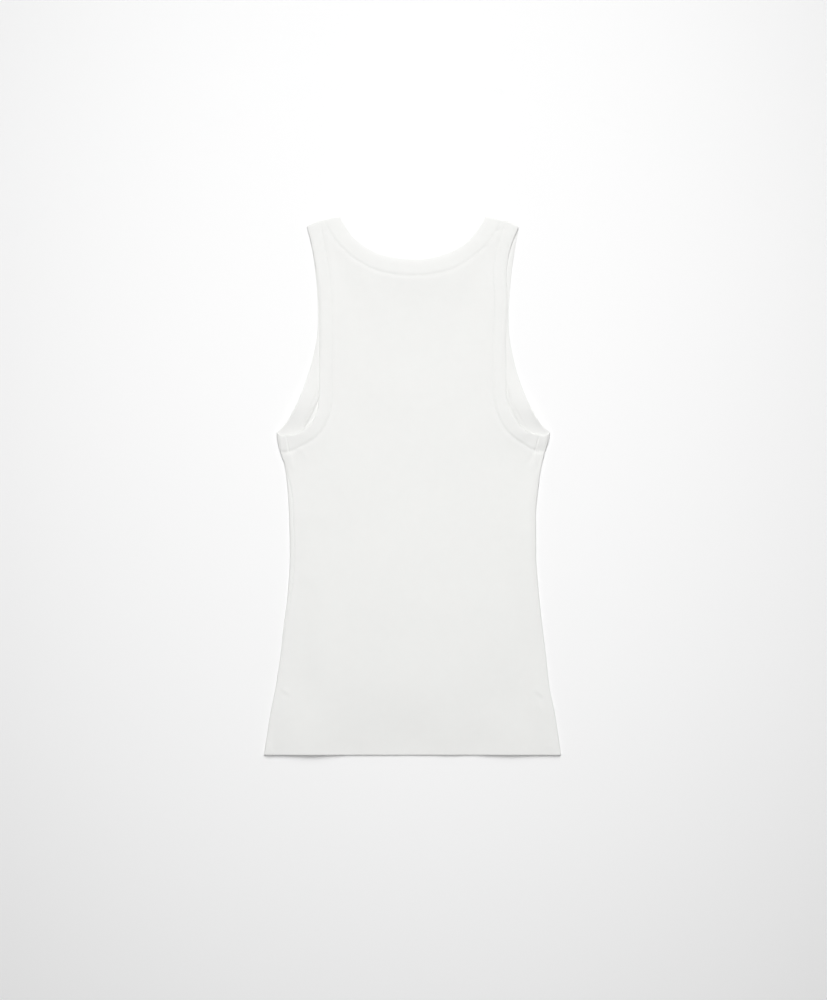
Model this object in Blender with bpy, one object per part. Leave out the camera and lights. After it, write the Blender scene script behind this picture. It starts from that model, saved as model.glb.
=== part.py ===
"""Women's ribbed tank top, laid flat on its front with the back uppermost.

Units are metres in the scene; every named size below is in millimetres.
+Y runs from the hem to the neck, +Z is up from the surface that the garment
lies on, and the origin is the middle of its footprint on that surface.

The garment is a tube of thin knit cloth pressed flat.  The lower layer is the
front, the upper layer is the back.  Cloth that turns over at a side fold or at
a shoulder fold follows a half round of FOLD_R, and each piece is laid out in
the developed plane of its layer, so that a seam keeps its gap round the fold.
"""
import bpy
import bmesh
import math
from collections import namedtuple
from mathutils import Vector
from mathutils.geometry import delaunay_2d_cdt

MM = 0.001

# ------------------------------------------------------------------ cloth
PANEL_T = 1.2        # one layer of the body knit
BAND_T = 2.2         # the bands are the same knit folded double
BAND_W = 14.5        # finished width of the neckband and armhole bands
SEAM_GAP = 0.3       # between two pieces along a seam
FOLD_H = 5.2         # height over both layers where the cloth turns over
FOLD_R = FOLD_H / 2
PRESSED_H = 3.0      # height over both layers in the pressed middle
SCOOP_SAG = 1.0      # the single layer above the front neckline lies lower
BAND_OVER_BAND_H = 4.9
PANEL_OVER_BAND_H = 4.1

# ------------------------------------------------------------------ outline
TOP_Y = 302.5
HEM_Y = -300.7
UNDERARM_SEAM_Y = 37.7      # where the armhole band is sewn to the side seam
SHOULDER_SEAM_DROP = 13.4   # the shoulder seam lies this far down the back
HALF_TURN = math.pi * FOLD_R

Section = namedtuple("Section", "name y left right")
SIDE_SECTIONS = [
    Section("hem", HEM_Y, 166.3, 167.1),
    Section("above hem", -284.0, 163.4, 164.6),
    Section("low hip", -257.0, 159.2, 160.6),
    Section("hip", -223.0, 152.5, 153.8),
    Section("high hip", -190.0, 147.5, 150.1),
    Section("below waist", -156.0, 143.6, 145.9),
    Section("waist bottom", -122.0, 139.3, 142.3),
    Section("waist", -75.0, 136.6, 139.0),
    Section("waist top", -33.0, 137.6, 138.9),
    Section("midriff", 0.0, 139.5, 141.8),
    Section("bust", 22.7, 142.5, 145.1),
    Section("band seam", UNDERARM_SEAM_Y, 147.6, 148.9),
    Section("underarm", 54.0, 150.9, 153.4),
    Section("underarm tip", 60.8, 151.5, 154.5),
]

# the top of each strap, from its outer corner to its neck corner
FoldPoint = namedtuple("FoldPoint", "name half y")
SHOULDER_FOLD = [
    FoldPoint("outer corner", 119.0, 291.0),
    FoldPoint("armhole band", 112.0, 294.8),
    FoldPoint("armhole band seam", 104.0, 297.6),
    FoldPoint("neckband seam", 96.0, 299.4),
    FoldPoint("neckband", 89.0, 301.9),
    FoldPoint("neck corner", 81.0, TOP_Y),
]

# armhole edge of each layer: strap edge with a flare towards the shoulder,
# then a superelliptic scoop down to the side fold
Armhole = namedtuple("Armhole", "strap flare power flare_from shoulder scoop_from tip roundness end_width")
ARMHOLE = {
    ("upper", "left"): Armhole(103.8, 13.4, 2.2, 185.0, 117.2, 103.0, 56.5, 2.35, 17.2),
    ("upper", "right"): Armhole(105.3, 13.9, 2.2, 230.0, 119.2, 107.0, 56.5, 2.1, 17.2),
    ("lower", "left"): Armhole(105.3, 11.9, 2.2, 185.0, 117.2, 178.0, 61.3, 1.42, 22.0),
    ("lower", "right"): Armhole(108.2, 11.0, 1.7, 190.7, 119.2, 178.0, 61.3, 1.48, 22.0),
}
# the right strap of the back bows out a little: (how far, at what height, spread)
STRAP_BULGE = {("upper", "right"): (1.7, 205.0, 24.0)}

# neck edge of each layer, from the shoulder fold to the middle
NeckPoint = namedtuple("NeckPoint", "name half y")
BACK_NECK = [
    NeckPoint("shoulder", 81.0, 300.0),
    NeckPoint("upper curve", 73.5, 287.4),
    NeckPoint("curve", 66.7, 278.6),
    NeckPoint("turn", 53.3, 267.7),
    NeckPoint("lower turn", 40.1, 260.9),
    NeckPoint("near middle", 20.4, 255.6),
    NeckPoint("middle", 0.0, 254.2),
]
FRONT_NECK = [
    NeckPoint("shoulder", 81.0, 300.0),
    NeckPoint("upper strap", 74.5, 262.0),
    NeckPoint("strap", 65.0, 229.9),
    NeckPoint("lower strap", 54.5, 196.0),
    NeckPoint("curve", 47.5, 160.0),
    NeckPoint("turn", 41.0, 132.5),
    NeckPoint("lower turn", 28.5, 115.0),
    NeckPoint("near middle", 13.4, 107.6),
    NeckPoint("middle", 0.0, 106.2),
]
NECK_SHIFT = 0.8            # the neck sits this far right of the middle line
NECK_FOLD_WIDTH = 19.2      # the neckband crosses the shoulder fold at a slant
# the neckband is eased to a little more than its plain width: (distance from the middle, width)
NECK_WIDTHS = [(0.0, 18.7), (20.0, 18.6), (32.0, 18.8), (42.0, 18.3), (52.0, 17.5), (62.0, 17.5),
               (72.0, 17.8), (78.0, 18.9), (84.0, 19.3)]

# soft waves that lift the hem clear of the surface
HemWave = namedtuple("HemWave", "name centre half_width height reach")
HEM_WAVES = [
    HemWave("left", -112.0, 46.0, 2.7, 85.0),
    HemWave("right", 108.0, 46.0, 2.0, 75.0),
    HemWave("middle right", 42.0, 22.0, 0.5, 60.0),
]
# both layers stand a little proud of the surface round each armhole
ArmholeLift = namedtuple("ArmholeLift", "name x y height radius")
ARMHOLE_LIFTS = [
    ArmholeLift("left scoop", -134.0, 90.0, 2.3, 31.0),
    ArmholeLift("right scoop", 137.0, 88.0, 2.6, 31.0),
]

# ------------------------------------------------------------------ meshing
STATION = 13.0       # spacing of the sections along a band
EDGE_STEP = 16.0     # spacing along the hem and the sides
LATTICE = 20.0       # spacing inside a panel
ARC_STEPS = 6        # steps round a half turn


# ------------------------------------------------------------------ small maths
def smoothstep(value, low, high):
    t = min(max((value - low) / (high - low), 0.0), 1.0)
    return t * t * (3.0 - 2.0 * t)


def lerp(a, b, t):
    return a + (b - a) * t


def monotone(xs, ys):
    """Monotone cubic through the rows of a table, xs ascending."""
    n = len(xs)
    h = [xs[i + 1] - xs[i] for i in range(n - 1)]
    d = [(ys[i + 1] - ys[i]) / h[i] for i in range(n - 1)]
    m = [d[0]] + [0.0] * (n - 2) + [d[-1]]
    for i in range(1, n - 1):
        if d[i - 1] * d[i] > 0:
            w1, w2 = 2 * h[i] + h[i - 1], h[i] + 2 * h[i - 1]
            m[i] = (w1 + w2) / (w1 / d[i - 1] + w2 / d[i])

    def value(x):
        x = min(max(x, xs[0]), xs[-1])
        i = 0
        while i < n - 2 and x > xs[i + 1]:
            i += 1
        t = (x - xs[i]) / h[i]
        return ((1 + 2 * t) * (1 - t) ** 2 * ys[i] + t * (1 - t) ** 2 * h[i] * m[i]
                + t * t * (3 - 2 * t) * ys[i + 1] + t * t * (t - 1) * h[i] * m[i + 1])
    return value


def through(points, steps=24):
    """Centripetal Catmull-Rom curve through points, sampled finely."""
    pts = [Vector(p) for p in points]
    pts = [2 * pts[0] - pts[1]] + pts + [2 * pts[-1] - pts[-2]]
    out = []
    for i in range(1, len(pts) - 2):
        p = pts[i - 1:i + 3]
        t = [0.0]
        for k in range(3):
            t.append(t[-1] + max((p[k + 1] - p[k]).length, 1e-6) ** 0.5)
        for s in range(steps):
            u = lerp(t[1], t[2], s / steps)
            a = [p[k] * ((t[k + 1] - u) / (t[k + 1] - t[k])) + p[k + 1] * ((u - t[k]) / (t[k + 1] - t[k]))
                 for k in range(3)]
            b = [a[k] * ((t[k + 2] - u) / (t[k + 2] - t[k])) + a[k + 1] * ((u - t[k]) / (t[k + 2] - t[k]))
                 for k in range(2)]
            out.append(b[0] * ((t[2] - u) / (t[2] - t[1])) + b[1] * ((u - t[1]) / (t[2] - t[1])))
    out.append(pts[-2])
    return out


def even(points, spacing):
    """The same curve with evenly spaced points."""
    run = [0.0]
    for a, b in zip(points, points[1:]):
        run.append(run[-1] + (b - a).length)
    count = max(2, round(run[-1] / spacing))
    out, k = [], 0
    for i in range(count + 1):
        s = run[-1] * i / count
        while k < len(run) - 2 and run[k + 1] < s:
            k += 1
        out.append(points[k].lerp(points[k + 1], (s - run[k]) / max(run[k + 1] - run[k], 1e-9)))
    return out


def inward_normals(points, towards):
    """Unit normals of a curve on the side of it that `towards` lies on."""
    out = []
    for i, p in enumerate(points):
        a, b = points[max(i - 1, 0)], points[min(i + 1, len(points) - 1)]
        t = (b - a).normalized()
        n = Vector((-t.y, t.x))
        out.append(n if n.dot(towards(p) - p) > 0 else -n)
    return out


# ------------------------------------------------------------------ the folded form
SIGN = {"left": -1.0, "right": 1.0}
side_fold = {side: monotone([s.y for s in SIDE_SECTIONS], [getattr(s, side) for s in SIDE_SECTIONS])
             for side in SIGN}
_fold_rows = sorted(SHOULDER_FOLD, key=lambda f: f.half)
shoulder_fold = monotone([f.half for f in _fold_rows], [f.y for f in _fold_rows])


def turn_start(u):
    """Where cloth at u begins to turn over the shoulder fold."""
    return shoulder_fold(abs(u)) - FOLD_R


def hem_lift(x, y):
    lift = 0.0
    for w in HEM_WAVES:
        across = max(0.0, 1.0 - abs((x - w.centre) / w.half_width))
        lift += w.height * smoothstep(across, 0, 1) * (1 - smoothstep(y - HEM_Y, 0, w.reach))
    for a in ARMHOLE_LIFTS:
        lift += a.height * math.exp(-((x - a.x) ** 2 + (y - a.y) ** 2) / a.radius ** 2)
    return lift


def eased_width(x):
    """Width of the neckband at a distance from the middle line."""
    for (x0, w0), (x1, w1) in zip(NECK_WIDTHS, NECK_WIDTHS[1:]):
        if x <= x1:
            return lerp(w0, w1, max(x - x0, 0.0) / (x1 - x0))
    return NECK_WIDTHS[-1][1]


FOOTPRINTS = []      # (points along a band, height of the upper skin over it)


def upper_skin(x, y):
    """Height of the garment's top surface over the flat part of the lower layer."""
    side = "left" if x < 0 else "right"
    scoop = 0.0
    height = PRESSED_H
    for name, path, level in FOOTPRINTS:
        d = min((p.x - x) ** 2 + (p.y - y) ** 2 for p in path) ** 0.5
        if name == "front neck" and y > min(path, key=lambda p: abs(p.x - x)).y and abs(x) < 60:
            scoop = smoothstep(d, BAND_W, BAND_W + 45)
        height = max(height, lerp(level, PRESSED_H, smoothstep(d, BAND_W / 2 + 8, BAND_W / 2 + 30)))
    height -= SCOOP_SAG * scoop * (1 - smoothstep(height, PRESSED_H, PRESSED_H + 0.6))
    if y < 70:
        from_side = side_fold[side](y) - abs(x)
        height = max(height, lerp(FOLD_H, PRESSED_H, smoothstep(from_side, 3, 30)))
    if y > 240:
        from_top = shoulder_fold(abs(x)) - y
        height = max(height, lerp(FOLD_H, PRESSED_H, smoothstep(from_top, 6, 70)))
    return height


def place_lower(u, v, depth):
    """Developed plane of the lower layer -> space; depth counts from the outer skin."""
    side = "left" if u < 0 else "right"
    r = FOLD_R - depth
    if v > turn_start(u) and v > 250:                       # over the shoulder fold
        start = turn_start(u)
        along = v - start
        if along > HALF_TURN:
            y = start - (along - HALF_TURN)
            return Vector((u, y, upper_skin(u, y) - depth))
        a = along / FOLD_R
        return Vector((u, start + r * math.sin(a), FOLD_R - r * math.cos(a)))
    start = side_fold[side](v) - FOLD_R
    if v < 70 and abs(u) > start:                            # round the side fold
        a = (abs(u) - start) / FOLD_R
        x = SIGN[side] * (start + r * math.sin(a))
        return Vector((x, v, FOLD_R - r * math.cos(a) + hem_lift(x, v)))
    return Vector((u, v, depth + hem_lift(u, v)))


def place_upper(u, v, depth):
    """Developed plane of the upper layer -> space; depth counts from the outer skin."""
    side = "left" if u < 0 else "right"
    r = FOLD_R - depth
    start = side_fold[side](v) - FOLD_R
    if v < 70 and abs(u) > start:
        a = (abs(u) - start) / FOLD_R
        x = SIGN[side] * (start + r * math.sin(a))
        return Vector((x, v, FOLD_R + r * math.cos(a) + hem_lift(x, v)))
    return Vector((u, v, upper_skin(u, v) - depth + hem_lift(u, v)))


# ------------------------------------------------------------------ band routes
def armhole_edge(layer, side):
    """Opening edge of an armhole, from the shoulder fold down to the side fold."""
    a = ARMHOLE[layer, side]
    corner = turn_start(a.shoulder)
    pts = []
    for i in range(60):
        y = lerp(corner, a.scoop_from, i / 60)
        t = max(0.0, (y - a.flare_from) / (corner - a.flare_from))
        out, level, spread = STRAP_BULGE.get((layer, side), (0.0, 200.0, 20.0))
        pts.append(Vector((a.strap + a.flare * t ** a.power + out * math.exp(-((y - level) / spread) ** 2), y)))
    tip_x = side_fold[side](a.tip) - FOLD_R
    reach_x, reach_y = tip_x - a.strap, a.scoop_from - a.tip
    for i in range(81):
        q = i / 80 * math.pi / 2
        c, s = math.cos(q) ** (2 / a.roundness), math.sin(q) ** (2 / a.roundness)
        pts.append(Vector((tip_x - reach_x * c, a.scoop_from - reach_y * s)))
    pts = even(pts, STATION)
    return [Vector((SIGN[side] * p.x, p.y)) for p in pts]


def neck_edge(table):
    """Neck edge from the left shoulder fold to the right one."""
    rows = [(-r.half + NECK_SHIFT, r.y) for r in table]
    rows += [(r.half + NECK_SHIFT, r.y) for r in reversed(table[:-1])]
    return even(through(rows), STATION)


Station = namedtuple("Station", "edge inward width")


def armhole_stations(layer, side):
    """Flat sections of an armhole band, from the shoulder fold to the side fold."""
    a = ARMHOLE[layer, side]
    edge = armhole_edge(layer, side)
    inward = inward_normals(edge, lambda p: Vector((0.0, -20.0 if p.y < 130 else p.y)))
    out = []
    last = len(edge) - 1
    for i, (p, n) in enumerate(zip(edge, inward)):
        to_tip = (edge[last] - p).length
        blend = 1 - smoothstep(to_tip, 0, 22)
        direction = (n * (1 - blend) + Vector((0.0, -1.0)) * blend).normalized()
        width = lerp(BAND_W, a.end_width, blend)
        if i == 0:
            inner = abs(p.x) - BAND_W
            q = Vector((SIGN[side] * inner, turn_start(inner)))
            p = Vector((p.x, turn_start(abs(p.x))))
            direction, width = (q - p).normalized(), (q - p).length
        out.append(Station(p, direction, width))
    return out


def neck_stations(table):
    edge = neck_edge(table)
    inward = inward_normals(edge, lambda p: p + Vector((p.x, -60.0)))
    out = []
    last = len(edge) - 1
    for i, (p, n) in enumerate(zip(edge, inward)):
        side = -1.0 if p.x < 0 else 1.0
        to_fold = min((edge[0] - p).length, (edge[last] - p).length)
        blend = 1 - smoothstep(to_fold, 0, 28)
        outer = abs(p.x) + NECK_FOLD_WIDTH
        along_fold = Vector((side, (turn_start(outer) - turn_start(abs(p.x))) / NECK_FOLD_WIDTH)).normalized()
        direction = (n * (1 - blend) + along_fold * blend).normalized()
        width = lerp(eased_width(abs(p.x - NECK_SHIFT)), NECK_FOLD_WIDTH, blend)
        if i in (0, last):
            p = Vector((p.x, turn_start(p.x)))
            q = Vector((side * outer, turn_start(outer)))
            direction, width = (q - p).normalized(), (q - p).length
        out.append(Station(p, direction, width))
    return out


def at(station, across):
    return station.edge + station.inward * across


def seam_side(station, gap=SEAM_GAP):
    return at(station, station.width + gap)


# ------------------------------------------------------------------ solids
def material(name, colour):
    m = bpy.data.materials.new(name)
    m.use_nodes = True
    shader = m.node_tree.nodes["Principled BSDF"]
    shader.inputs["Base Color"].default_value = (*colour, 1.0)
    shader.inputs["Roughness"].default_value = 0.92
    shader.inputs["Metallic"].default_value = 0.0
    return m


def solid(name, verts, faces, mat, parent):
    """One closed body from points in millimetres."""
    mesh = bpy.data.meshes.new(name)
    mesh.from_pydata([tuple(c * MM for c in v) for v in verts], [], faces)
    bm = bmesh.new()
    bm.from_mesh(mesh)
    bmesh.ops.triangulate(bm, faces=bm.faces[:])
    bmesh.ops.recalc_face_normals(bm, faces=bm.faces[:])
    bm.to_mesh(mesh)
    bm.free()
    mesh.materials.append(mat)
    mesh.shade_smooth()
    mesh.set_sharp_from_angle(angle=math.radians(50))
    obj = bpy.data.objects.new(name, mesh)
    bpy.context.scene.collection.objects.link(obj)
    obj.parent = parent
    return obj


# profile of a band: share of the width, share of the thickness; the folded
# edge of the strip is rounded, the sewn edge is square
BandCorner = namedtuple("BandCorner", "across depth")
BAND_PROFILE = [
    BandCorner(0.000, 0.66),
    BandCorner(0.000, 0.34),
    BandCorner(0.055, 0.00),
    BandCorner(1.000, 0.00),
    BandCorner(1.000, 1.00),
    BandCorner(0.055, 1.00),
]


def ring(name, sections, mat, parent):
    """A closed loop of sections, each with the points of BAND_PROFILE."""
    verts, faces = [], []
    n, k = len(sections), len(BAND_PROFILE)
    for s in sections:
        verts.extend(s)
    for i in range(n):
        j = (i + 1) % n
        for c in range(k):
            d = (c + 1) % k
            faces.append((i * k + c, j * k + c, j * k + d, i * k + d))
    return solid(name, verts, faces, mat, parent)


def flat_section(station, place):
    out = []
    for c in BAND_PROFILE:
        p = at(station, c.across * station.width)
        out.append(place(p.x, p.y, c.depth * BAND_T))
    return out


def shoulder_sections(station):
    """Sections round the shoulder fold, from the lower layer to the upper one."""
    out = []
    for i in range(1, ARC_STEPS):
        section = []
        for c in BAND_PROFILE:
            p = at(station, c.across * station.width)
            section.append(place_lower(p.x, turn_start(p.x) + HALF_TURN * i / ARC_STEPS, c.depth * BAND_T))
        out.append(section)
    return out


def underarm_sections(side):
    """Sections round the side fold, from the lower layer to the upper one."""
    low, high = ARMHOLE["lower", side].tip, ARMHOLE["upper", side].tip
    out = []
    for i in range(1, ARC_STEPS):
        t = i / ARC_STEPS
        edge_y = lerp(low, high, smoothstep(t, 0, 1))
        section = []
        for c in BAND_PROFILE:
            y = lerp(edge_y, UNDERARM_SEAM_Y, c.across)
            u = SIGN[side] * (side_fold[side](y) - FOLD_R + HALF_TURN * t)
            section.append(place_lower(u, y, c.depth * BAND_T))
        out.append(section)
    return out


def underarm_end(side, tip, layer):
    """The last flat station of an armhole band, on the line where the side fold starts."""
    top = Vector((SIGN[side] * (side_fold[side](tip) - FOLD_R), tip))
    foot = Vector((SIGN[side] * (side_fold[side](UNDERARM_SEAM_Y) - FOLD_R), UNDERARM_SEAM_Y))
    return Station(top, (foot - top).normalized(), (foot - top).length)


def inside(point, loop):
    hit = False
    for a, b in zip(loop, loop[1:] + loop[:1]):
        if (a.y > point.y) != (b.y > point.y):
            if point.x < a.x + (point.y - a.y) / (b.y - a.y) * (b.x - a.x):
                hit = not hit
    return hit


def distance_to(point, loop):
    best = 1e9
    for a, b in zip(loop, loop[1:] + loop[:1]):
        ab = b - a
        t = min(max((point - a).dot(ab) / max(ab.length_squared, 1e-12), 0.0), 1.0)
        best = min(best, (a + ab * t - point).length)
    return best


def wall(name, outline, rows, place, mat, parent):
    """A cloth wall over an outline in the developed plane, with extra rows of points."""
    loop = [Vector(p) for p in outline]
    pts = list(loop)
    edges = [(i, (i + 1) % len(loop)) for i in range(len(loop))]
    for row in rows:
        first = len(pts)
        pts.extend(Vector(p) for p in row)
        edges += [(i, i + 1) for i in range(first, len(pts) - 1)]
    fixed = list(pts)
    j, y = 0, HEM_Y + LATTICE * 0.9
    while y < TOP_Y:
        x = -170.0 + (LATTICE / 2 if j % 2 else 0.0)
        while x < 170.0:
            p = Vector((x, y))
            if inside(p, loop) and distance_to(p, loop) > LATTICE * 0.45 \
                    and min((p - q).length for q in fixed) > LATTICE * 0.55:
                pts.append(p)
            x += LATTICE
        y += LATTICE * 0.87
        j += 1
    flat, _, tris, *_ = delaunay_2d_cdt(pts, edges, [], 1, 1e-5)
    if len(flat) != len(pts):
        raise RuntimeError(f"{name}: outline points coincide ({len(pts)} -> {len(flat)})")
    n = len(flat)
    verts = [place(p.x, p.y, 0.0) for p in flat] + [place(p.x, p.y, PANEL_T) for p in flat]
    faces, used = [], {}
    for a, b, c in tris:
        faces.append((a, b, c))
        faces.append((a + n, c + n, b + n))
        for e in ((a, b), (b, c), (c, a)):
            used[e] = True
    for (a, b) in used:
        if (b, a) not in used:
            faces.append((b, a, a + n, b + n))
    return solid(name, verts, faces, mat, parent)


# ------------------------------------------------------------------ panels
QUARTER = math.pi / 2 - 0.5 * SEAM_GAP / (FOLD_R - PANEL_T)     # panels meet half way round
ARC_ANGLES = [QUARTER * k / 3 for k in range(4)]


def side_u(side, y, angle):
    return SIGN[side] * (side_fold[side](y) - FOLD_R + FOLD_R * angle)


def side_levels():
    span = UNDERARM_SEAM_Y - SEAM_GAP - HEM_Y
    count = round(span / EDGE_STEP)
    return [HEM_Y + span * i / count for i in range(count + 1)]


def body_outline(arm, strap_top, neck):
    """Counter-clockwise outline of a panel: hem, right side, right strap, neck, left strap, left side.

    arm: per side, the armhole seam from the side fold to the shoulder
    strap_top: per side, (points up the armhole seam side, points down the neck seam side)
    neck: the neck seam from right to left
    """
    out = []
    hem_half = {s: side_fold[s](HEM_Y) - FOLD_R for s in SIGN}
    for a in reversed(ARC_ANGLES):
        out.append(Vector((side_u("left", HEM_Y, a), HEM_Y)))
    count = round((hem_half["left"] + hem_half["right"]) / EDGE_STEP)
    for i in range(1, count):
        out.append(Vector((lerp(-hem_half["left"], hem_half["right"], i / count), HEM_Y)))
    for a in ARC_ANGLES:
        out.append(Vector((side_u("right", HEM_Y, a), HEM_Y)))
    levels = side_levels()
    for y in levels[1:]:
        out.append(Vector((side_u("right", y, QUARTER), y)))
    for a in reversed(ARC_ANGLES[:-1]):
        out.append(Vector((side_u("right", levels[-1], a), levels[-1])))
    out += arm["right"] + strap_top["right"][0]
    out += strap_top["right"][1] + neck + list(reversed(strap_top["left"][1]))
    out += list(reversed(strap_top["left"][0])) + list(reversed(arm["left"]))
    for a in ARC_ANGLES[:-1]:
        out.append(Vector((side_u("left", levels[-1], a), levels[-1])))
    for y in reversed(levels[1:]):
        out.append(Vector((side_u("left", y, QUARTER), y)))
    return out


def side_rows():
    """Rows of points where the side folds start, half way round them, and beside them."""
    levels = side_levels()[1:-1]
    rows = []
    for side in SIGN:
        for a in ARC_ANGLES[:-1]:
            rows.append([Vector((side_u(side, y, a), y)) for y in levels])
        for off in (8.0, 20.0):
            rows.append([Vector((SIGN[side] * (side_fold[side](y) - FOLD_R - off), y)) for y in levels])
    return rows


def seam_cut(first, second, drop_from):
    """Point on the line first-second that lies SHOULDER_SEAM_DROP below the fold."""
    a, b = seam_side(first), seam_side(second)
    t = (a.y - (shoulder_fold(abs(a.x)) - drop_from)) / (a.y - b.y)
    return a.lerp(b, t)


def over_fold(p):
    """A point of the upper layer in the developed plane of the lower one."""
    return Vector((p.x, 2 * turn_start(p.x) + HALF_TURN - p.y))


def build():
    for old in list(bpy.data.objects):
        bpy.data.objects.remove(old, do_unlink=True)

    arm = {(layer, side): armhole_stations(layer, side) for layer in ("lower", "upper") for side in SIGN}
    for (layer, side), stations in arm.items():
        stations[-1] = underarm_end(side, ARMHOLE[layer, side].tip, layer)
    back_neck, front_neck = neck_stations(BACK_NECK), neck_stations(FRONT_NECK)
    # both layers of a band cross the fold in the same place
    for k in (0, -1):
        front_neck[k] = back_neck[k]
    for side in SIGN:
        arm["lower", side][0] = arm["upper", side][0]

    def middle(stations):
        line = [at(s, s.width / 2) for s in stations]
        return even(line, 6.0)

    FOOTPRINTS.append(("back neck", middle(back_neck), BAND_OVER_BAND_H))
    FOOTPRINTS.append(("front neck", middle(front_neck), PANEL_OVER_BAND_H))
    for side in SIGN:
        FOOTPRINTS.append(("back arm", middle(arm["upper", side]), BAND_OVER_BAND_H))
        FOOTPRINTS.append(("front arm", middle(arm["lower", side]), PANEL_OVER_BAND_H))

    root = bpy.data.objects.new("tank_top", None)
    bpy.context.scene.collection.objects.link(root)
    body_cloth = material("body_cloth", (0.87, 0.87, 0.83))
    band_cloth = material("band_cloth", (0.89, 0.89, 0.86))

    # neckband: lower layer left to right, right fold, upper layer right to left, left fold
    sections = [flat_section(s, place_lower) for s in front_neck]
    sections += shoulder_sections(back_neck[-1])
    sections += [flat_section(s, place_upper) for s in reversed(back_neck)]
    sections += list(reversed(shoulder_sections(back_neck[0])))
    ring("neck_band", sections, band_cloth, root)

    # armhole bands: lower layer up to the shoulder, over it, upper layer down, round the underarm
    for side in SIGN:
        low, high = arm["lower", side], arm["upper", side]
        sections = [flat_section(s, place_lower) for s in reversed(low)]
        sections += shoulder_sections(high[0])
        sections += [flat_section(s, place_upper) for s in high]
        sections += list(reversed(underarm_sections(side)))
        ring("arm_band_" + side, sections, band_cloth, root)

    # front: lower layer, over the shoulder folds to the shoulder seams
    arm_seam, strap_top = {}, {}
    for side in SIGN:
        low, high = arm["lower", side], arm["upper", side]
        arm_seam[side] = [seam_side(s) for s in reversed(low[1:-1])]
        neck_first = back_neck[-1] if side == "right" else back_neck[0]
        neck_second = back_neck[-2] if side == "right" else back_neck[1]
        outer, inner = seam_side(high[0]), seam_side(neck_first)
        up = [Vector((outer.x, turn_start(outer.x) + HALF_TURN * k / ARC_STEPS)) for k in range(ARC_STEPS + 1)]
        up.append(over_fold(seam_cut(high[0], high[1], SHOULDER_SEAM_DROP)))
        down = [Vector((inner.x, turn_start(inner.x) + HALF_TURN * k / ARC_STEPS)) for k in range(ARC_STEPS + 1)]
        down.append(over_fold(seam_cut(neck_first, neck_second, SHOULDER_SEAM_DROP)))
        strap_top[side] = (up, list(reversed(down)))
    neck = [seam_side(s) for s in reversed(front_neck[1:-1])]
    wall("front_panel", body_outline(arm_seam, strap_top, neck), side_rows(), place_lower, body_cloth, root)

    # back: upper layer up to the shoulder seams
    for side in SIGN:
        high = arm["upper", side]
        arm_seam[side] = [seam_side(s) for s in reversed(high[1:-1])]
        neck_first = back_neck[-1] if side == "right" else back_neck[0]
        neck_second = back_neck[-2] if side == "right" else back_neck[1]
        drop = SHOULDER_SEAM_DROP + SEAM_GAP
        strap_top[side] = ([seam_cut(high[0], high[1], drop)], [seam_cut(neck_first, neck_second, drop)])
    neck = [seam_side(s) for s in reversed(back_neck[1:-1])]
    wall("back_panel", body_outline(arm_seam, strap_top, neck), side_rows(), place_upper, body_cloth, root)


build()
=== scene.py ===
"""Looks of the tank top laid flat, back uppermost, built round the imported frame.

Sizes are millimetres until a mesh is written.  Each piece of cloth is laid out
in the developed plane of its layer and then placed: flat on the surface, round
the side folds and round the shoulder folds, as the CAD solids are.  The upper
layer follows one smooth height field, so that what lies under it shows through
as soft relief.
"""

import math
from collections import namedtuple

import bpy
import numpy as np
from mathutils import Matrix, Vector
from mathutils.geometry import delaunay_2d_cdt
from mathutils.kdtree import KDTree


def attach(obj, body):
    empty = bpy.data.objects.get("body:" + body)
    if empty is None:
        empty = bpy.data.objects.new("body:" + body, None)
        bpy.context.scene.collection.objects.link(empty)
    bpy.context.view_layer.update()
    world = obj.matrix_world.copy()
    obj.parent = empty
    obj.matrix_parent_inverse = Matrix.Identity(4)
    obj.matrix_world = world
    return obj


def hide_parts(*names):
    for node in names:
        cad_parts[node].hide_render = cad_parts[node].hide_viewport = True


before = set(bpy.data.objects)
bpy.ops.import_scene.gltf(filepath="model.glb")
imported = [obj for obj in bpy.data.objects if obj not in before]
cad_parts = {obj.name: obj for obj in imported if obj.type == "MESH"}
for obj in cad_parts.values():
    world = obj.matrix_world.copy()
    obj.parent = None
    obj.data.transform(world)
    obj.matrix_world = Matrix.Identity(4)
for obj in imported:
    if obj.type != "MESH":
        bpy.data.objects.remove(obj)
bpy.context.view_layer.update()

MM = 0.001

# ------------------------------------------------------------------ cloth
BODY_T = 0.75        # one layer of the rib knit
PLY = 0.52           # one ply of a folded band
BAND_T = 1.14        # two plies and the air between them
BAND_W = 14.5
SEAM_GAP = 0.05
ALLOW_W = 5.2        # width of the overlocked seam allowance inside
ALLOW_T = 0.55
VALLEY = 0.34        # how deep a band seam is drawn in
VALLEY_HALF = 2.6
PANEL_VALLEY = 0.52   # the panel dips less than the band, over a wider strip
PANEL_VALLEY_HALF = 4.0

TOP_Y = 302.5
HEM_Y = -300.7
UNDERARM_SEAM_Y = 37.7
SHOULDER_SEAM_DROP = 13.4
SHOULDER_R = 1.60    # half height of the fold over the shoulder
SHOULDER_ROLL = 4.3   # width of the gentle roll before the fold
SHOULDER_RISE = 0.08
SHOULDER_TURN = math.pi * SHOULDER_R
PRESSED_H = 2.0      # height of the top skin over both layers

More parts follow.
